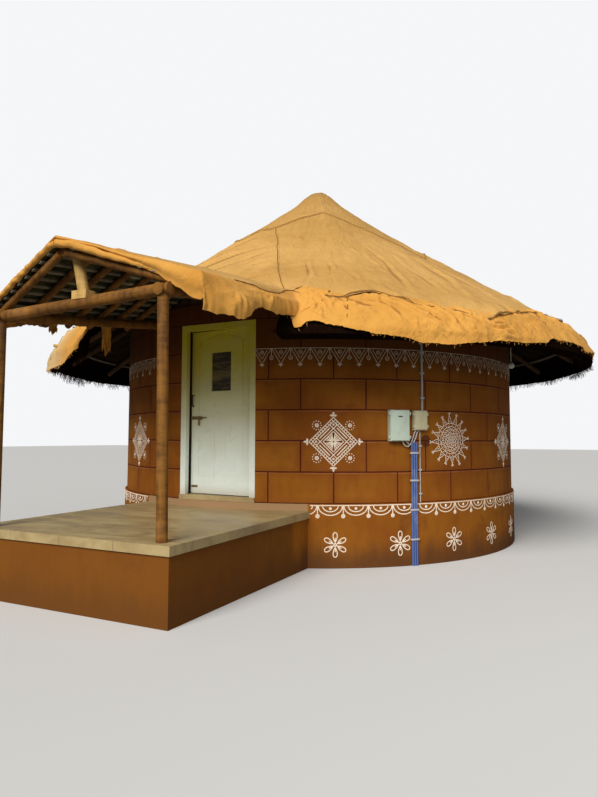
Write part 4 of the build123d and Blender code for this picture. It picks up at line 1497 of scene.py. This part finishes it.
def sun_relief():
    """Rings with beads, petals and hoops between them, and sixteen rays with forked tips."""
    made = Relief(0.0040)
    for radius in (0.030, 0.088, 0.166, 0.206):
        made.arc(0, 0, radius, count=40)
    made.arc(0, 0, 0.012)
    for i in range(22):
        made.dot(*turned(360 / 22 * i, 0.186), 0.0072)
    for i in range(8):
        turn = 45 * i + 12
        made.petal(0, 0, turn, 0.090, 0.164, 0.026, 6)
        made.dot(*turned(turn, 0.128), 0.009)
        made.arc(*turned(turn + 22.5, 0.128), 0.013)
        made.arc(*turned(turn + 22.5, 0.059), 0.017)
    for i in range(16):
        turn = 22.5 * i + 4
        length = 0.296 + 0.016 * math.sin(5 * i)
        tip = turned(turn, length)
        for side in (-8.5, 8.5):
            made.line(turned(turn + side, 0.208), tip)
        made.dot(*turned(turn, 0.232), 0.0075)
        for spread in (-48, 48):
            middle = turned(turn + spread, 0.022, 0.0, *tip)
            made.line(tip, middle, turned(turn, 0.012, 0.0, *middle))
        made.line(tip, turned(turn, length + 0.030))
    return made.make("sun_relief")


def flower_relief():
    """Six rounded petals in outline with a stamen in each."""
    made = Relief(0.0056)
    for turn in range(90, 450, 60):
        points = []
        for k in range(18):
            b = math.radians(20 * k)
            aside = 0.029 * math.sin(b) * (0.78 + 0.30 * math.cos(b))
            points.append(turned(turn, 0.086 + 0.052 * math.cos(b), aside))
        made.line(*points, closed=True)
        made.line(turned(turn, 0.016), turned(turn, 0.080))
    made.arc(0, 0, 0.013)
    return made.make("flower_relief")


def triangle_unit(pitch):
    """One triangle of the upper band with the pendant beside it."""
    half = pitch / 2
    made = Relief(0.0044)
    made.line((-half, 0), (half, 0))
    made.line((-half * 0.94, -0.006), (0, -0.185), (half * 0.94, -0.006))
    made.line((-half * 0.60, -0.012), (0, -0.122), (half * 0.60, -0.012))
    made.arc(0, -0.044, 0.019).dot(0, -0.044, 0.006)
    for spread in (-74, 0, 74):
        made.petal(0, -0.186, -90 + spread, 0.0, 0.026, 0.006, 4)
    made.pendant(half, -0.088, -0.110, 0.022, 0.008)
    return made.make("band_triangle")


def festoon_unit(pitch):
    """One scallop of the band on the plinth with the pendant beside it."""
    half = pitch / 2
    made = Relief(0.0060)
    made.line((-half, 0), (half, 0))
    made.arc(0, -0.008, half * 0.94, 180, 360, squash=0.74, count=12)
    made.arc(0, -0.008, half * 0.60, 180, 360, squash=0.70, count=10)
    made.dot(0, -0.036, 0.018)
    made.pendant(half, -0.098, -0.120, 0.018, 0.010)
    return made.make("band_scallop")


def festoon_end(pitch, side):
    """The part of a scallop that shows beside the porch."""
    half = side * pitch / 2
    made = Relief(0.0060)
    made.line((0.42 * half, 0), (half, 0))
    for share, squash, first in ((0.94, 0.74, 62), (0.60, 0.70, 30)):
        points = []
        for i in range(5):
            a = math.radians(first * (1 - i / 4))
            fall = abs(half) * share * squash * math.sin(a)
            points.append((half * share * math.cos(a), -0.008 - fall))
        made.line(*points)
    made.pendant(half, -0.098, -0.120, 0.018, 0.010)
    return made.make("band_scallop_end")


def spread_round(unit, places, name, radius=HUT_R):
    """Copies a relief that has been laid on the wall to each azimuth and height."""
    lay_on_wall(unit, radius)
    copies = []
    for i, (az, z) in enumerate(places):
        move = Matrix.Translation((0, 0, z)) @ Matrix.Rotation(math.radians(az), 4, "Z")
        copies.append(copy_of(unit, f"{name}_{i}", move))
    drop(unit)
    dress(join(copies, name), LIME)


# Boxes and pipes
def by_the_wall(obj, az, height, radius=HUT_R):
    """Moves a piece modelled at the origin, with its front to -Y, to its place on the wall."""
    turn = Matrix.Rotation(math.radians(az), 4, "Z")
    obj.data.transform(Matrix.Translation(on_wall(az, height, 0.0, radius)) @ turn)
    return obj


def rounded_block(name, size, place=(0, 0, 0), round_by=0.003, steps=2):
    """A block with rounded edges, at the origin's frame."""
    deselect()
    bpy.ops.mesh.primitive_cube_add(size=1, location=place)
    obj = named(name)
    obj.scale = size
    settle(obj)
    return modify(obj, "BEVEL", width=round_by, segments=steps, limit_method="ANGLE")


def screw_head(name, place, radius):
    """A round head with a slot, facing -Y."""
    deselect()
    bpy.ops.mesh.primitive_cylinder_add(
        vertices=16, radius=radius, depth=0.004, location=place, rotation=(math.pi / 2, 0, 0)
    )
    head = settle(named(name))
    modify(head, "BEVEL", width=0.001, segments=2, limit_method="ANGLE")
    x, y, z = place
    size = (1.5 * radius, 0.0006, 0.0016)
    slot = rounded_block(name + "_slot", size, (x, y - 0.0022, z), 0.0002, 1)
    return join([head, slot], name)


def box_fittings(name, spot, wide, tall, deep, finish):
    """The lid of a box and its four lugs with screws."""
    size = (wide - 0.016, 0.010, tall - 0.016)
    parts = [rounded_block(name + "_lid", size, (0, -deep - 0.002, 0), 0.004, 3)]
    screws = []
    for sx in (-1, 1):
        for sz in (-1, 1):
            x, z = sx * (wide / 2 + 0.004), sz * (tall / 2 - 0.045)
            place = (x, 0.018 - deep, z)
            parts.append(rounded_block(name + "_lug", (0.026, 0.030, 0.034), place, 0.005, 3))
            screws.append(screw_head(name + "_screw", (x, 0.002 - deep, z), 0.0055))
    shell = by_the_wall(join(parts, name + "_lid"), *spot)
    dress(smooth(shell, 40), finish)
    heads = by_the_wall(join(screws, name + "_screws"), *spot)
    dress(smooth(heads, 40), STEEL)


def cable_bend(start, low, end):
    """A line that sags from start to end, both azimuth, height and distance off the wall."""
    points = []
    for i in range(25):
        t = i / 24
        az = start[0] + (end[0] - start[0]) * t * t * (3 - 2 * t)
        rise = start[1] * (1 - t) + end[1] * t
        sag = (rise - low) * math.sin(1.25 * t * math.pi) ** 1.2 if t < 0.8 else 0.0
        points.append(on_wall(az, rise - sag, start[2] + (end[2] - start[2]) * t))
    return points, False


def wall_fittings():
    """Lids, lugs, the slot in the meter's lid, the bends below and the pipes' saddles."""
    box_fittings("meter", METER, 0.245, 0.365, 0.080, BOX_GREEN)
    box_fittings("junction", JUNCTION, 0.178, 0.235, 0.060, BOX_BEIGE)
    slot = rounded_block("meter_slot", (0.052, 0.004, 0.014), (0.0, -0.0885, 0.105), 0.0015)
    dress(by_the_wall(slot, *METER), IRON)
    bends = [
        cable_bend((43.4, 1.440, 0.040), 1.375, (46.9, 1.568, 0.030)),
        cable_bend((44.2, 1.440, 0.050), 1.400, (47.6, 1.568, 0.026)),
    ]
    bend = wire_mesh("cable_bends", bends, 0.0070, 3)
    dress(smooth(bend, 60), PIPE_GREY)
    saddles = []
    for az, radius, deep, heights, wide in (
        (46.3, LEDGE_R, 0.026, (0.30, 0.64, 0.98, 1.30), 0.104),
        (48.2, HUT_R, 0.016, (0.82, 1.10, 1.38), 0.040),
        (48.8, HUT_R, 0.028, (1.95, 2.25, 2.50), 0.052),
    ):
        for height in heights:
            strap = rounded_block("strap", (wide, 0.003, 0.020), (0, -deep, 0), 0.001)
            saddles.append(by_the_wall(strap, az, height, radius))
            for sx in (-1, 1):
                place = (sx * wide / 2, -deep / 2, 0)
                foot = rounded_block("foot", (0.004, deep, 0.020), place, 0.001)
                saddles.append(by_the_wall(foot, az, height, radius))
    dress(smooth(join(saddles, "pipe_saddles"), 40), PIPE_GREY)


def wall_reliefs():
    """Bands of triangles and scallops, flowers on the plinth, and diamonds and suns between."""
    turn, start, end = 4.38, 11.8, 349.0
    places = [(start + i * turn, 2.52) for i in range(int((end - start) / turn))]
    spread_round(triangle_unit(math.radians(turn) * HUT_R), places, "upper_band")
    first, count = 24.4, 56
    turn = (360 - 2 * first) / count
    pitch = math.radians(turn) * LEDGE_R
    places = [(first + (i + 0.5) * turn, 0.704) for i in range(count)]
    spread_round(festoon_unit(pitch), places, "plinth_band", LEDGE_R)
    for side, name in ((1, "plinth_band_right_end"), (-1, "plinth_band_left_end")):
        spread_round(festoon_end(pitch, side), [(side * (first - turn / 2), 0.704)], name, LEDGE_R)
    flowers = [(28.2 + 14.6 * i, 0.262) for i in range(21)]
    spread_round(flower_relief(), flowers, "plinth_flowers", LEDGE_R)
    diamonds = (27.9, 82.3, 137.5, 222.5, 277.5, 330.0)
    spread_round(diamond_relief(), [(az, 1.43) for az in diamonds], "wall_diamonds")
    suns = (57.35, 110.0, 165.0, 195.0, 250.0, 302.5)
    spread_round(sun_relief(), [(az, 1.45) for az in suns], "wall_suns")


# Camera and light
def camera_and_light():
    """The camera as it was fitted, a soft sun, a fill from the right, a pale studio and floor."""
    scene = bpy.context.scene
    data = bpy.data.cameras.new("camera")
    data.sensor_width = 36
    data.lens = 27.33
    data.clip_end = 200
    camera = bpy.data.objects.new("camera", data)
    scene.collection.objects.link(camera)
    yaw, pitch, roll = -0.4566, 0.06509, 0.00261
    level = math.cos(pitch)
    ahead = Vector((math.sin(yaw) * level, math.cos(yaw) * level, math.sin(pitch)))
    camera.matrix_world = (
        Matrix.Translation((4.12689, -9.09768, 1.47266))
        @ ahead.to_track_quat("-Z", "Y").to_matrix().to_4x4()
        @ Matrix.Rotation(roll, 4, "Z")
    )
    scene.camera = camera

    def lamp(name, kind, place, target, energy, size, colour=(1, 1, 1)):
        """A lamp that looks at target: size is a sun's angle in degrees or a panel's width."""
        data = bpy.data.lights.new(name, kind)
        data.energy = energy
        data.color = colour
        if kind == "SUN":
            data.angle = math.radians(size)
        else:
            data.size = size
        obj = bpy.data.objects.new(name, data)
        obj.location = place
        obj.rotation_euler = (Vector(target) - Vector(place)).to_track_quat("-Z", "Y").to_euler()
        scene.collection.objects.link(obj)

    lamp("soft_sun", "SUN", (0.2, -10, 7.2), (0, 0, 0), 3.6, 34, (1.0, 0.975, 0.93))
    lamp("front_fill", "AREA", (11, -9, 6), (1, -2, 1.8), 260, 6)

    world = bpy.data.worlds.new("studio")
    scene.world = world
    world.use_nodes = True
    tree = world.node_tree
    back = tree.nodes["Background"]
    path = tree.nodes.new("ShaderNodeLightPath")
    straight, through = [
        Wire(tree, path.outputs[f"Is {kind} Ray"]) for kind in ("Camera", "Transmission")
    ]
    feed(tree, back.inputs["Strength"], 0.19 + 0.75 * straight.math("MAXIMUM", through))
    back.inputs["Color"].default_value = (0.97, 0.98, 1.0, 1)

    deselect()
    bpy.ops.mesh.primitive_plane_add(size=160, location=(0, 0, -0.002))
    floor = named("floor")
    ground = Finish("studio_floor", (0.66, 0.66, 0.65), 0.95)
    shown = ground.node("LightPath", out="Is Camera Ray")
    ground.set(ground.mix(shown, (0.22, 0.215, 0.20), (0.68, 0.68, 0.67)))
    floor.data.materials.append(ground.material)
    scene.view_settings.view_transform = "Standard"


roof_cloth()
hem_cloth()
hem_seams()
seam_lines()
ragged_threads()
porch_cloth()
rolled_rake()
left_scraps()
eave_fringe()
wall_reliefs()
wall_fittings()
camera_and_light()

bpy.context.view_layer.update()
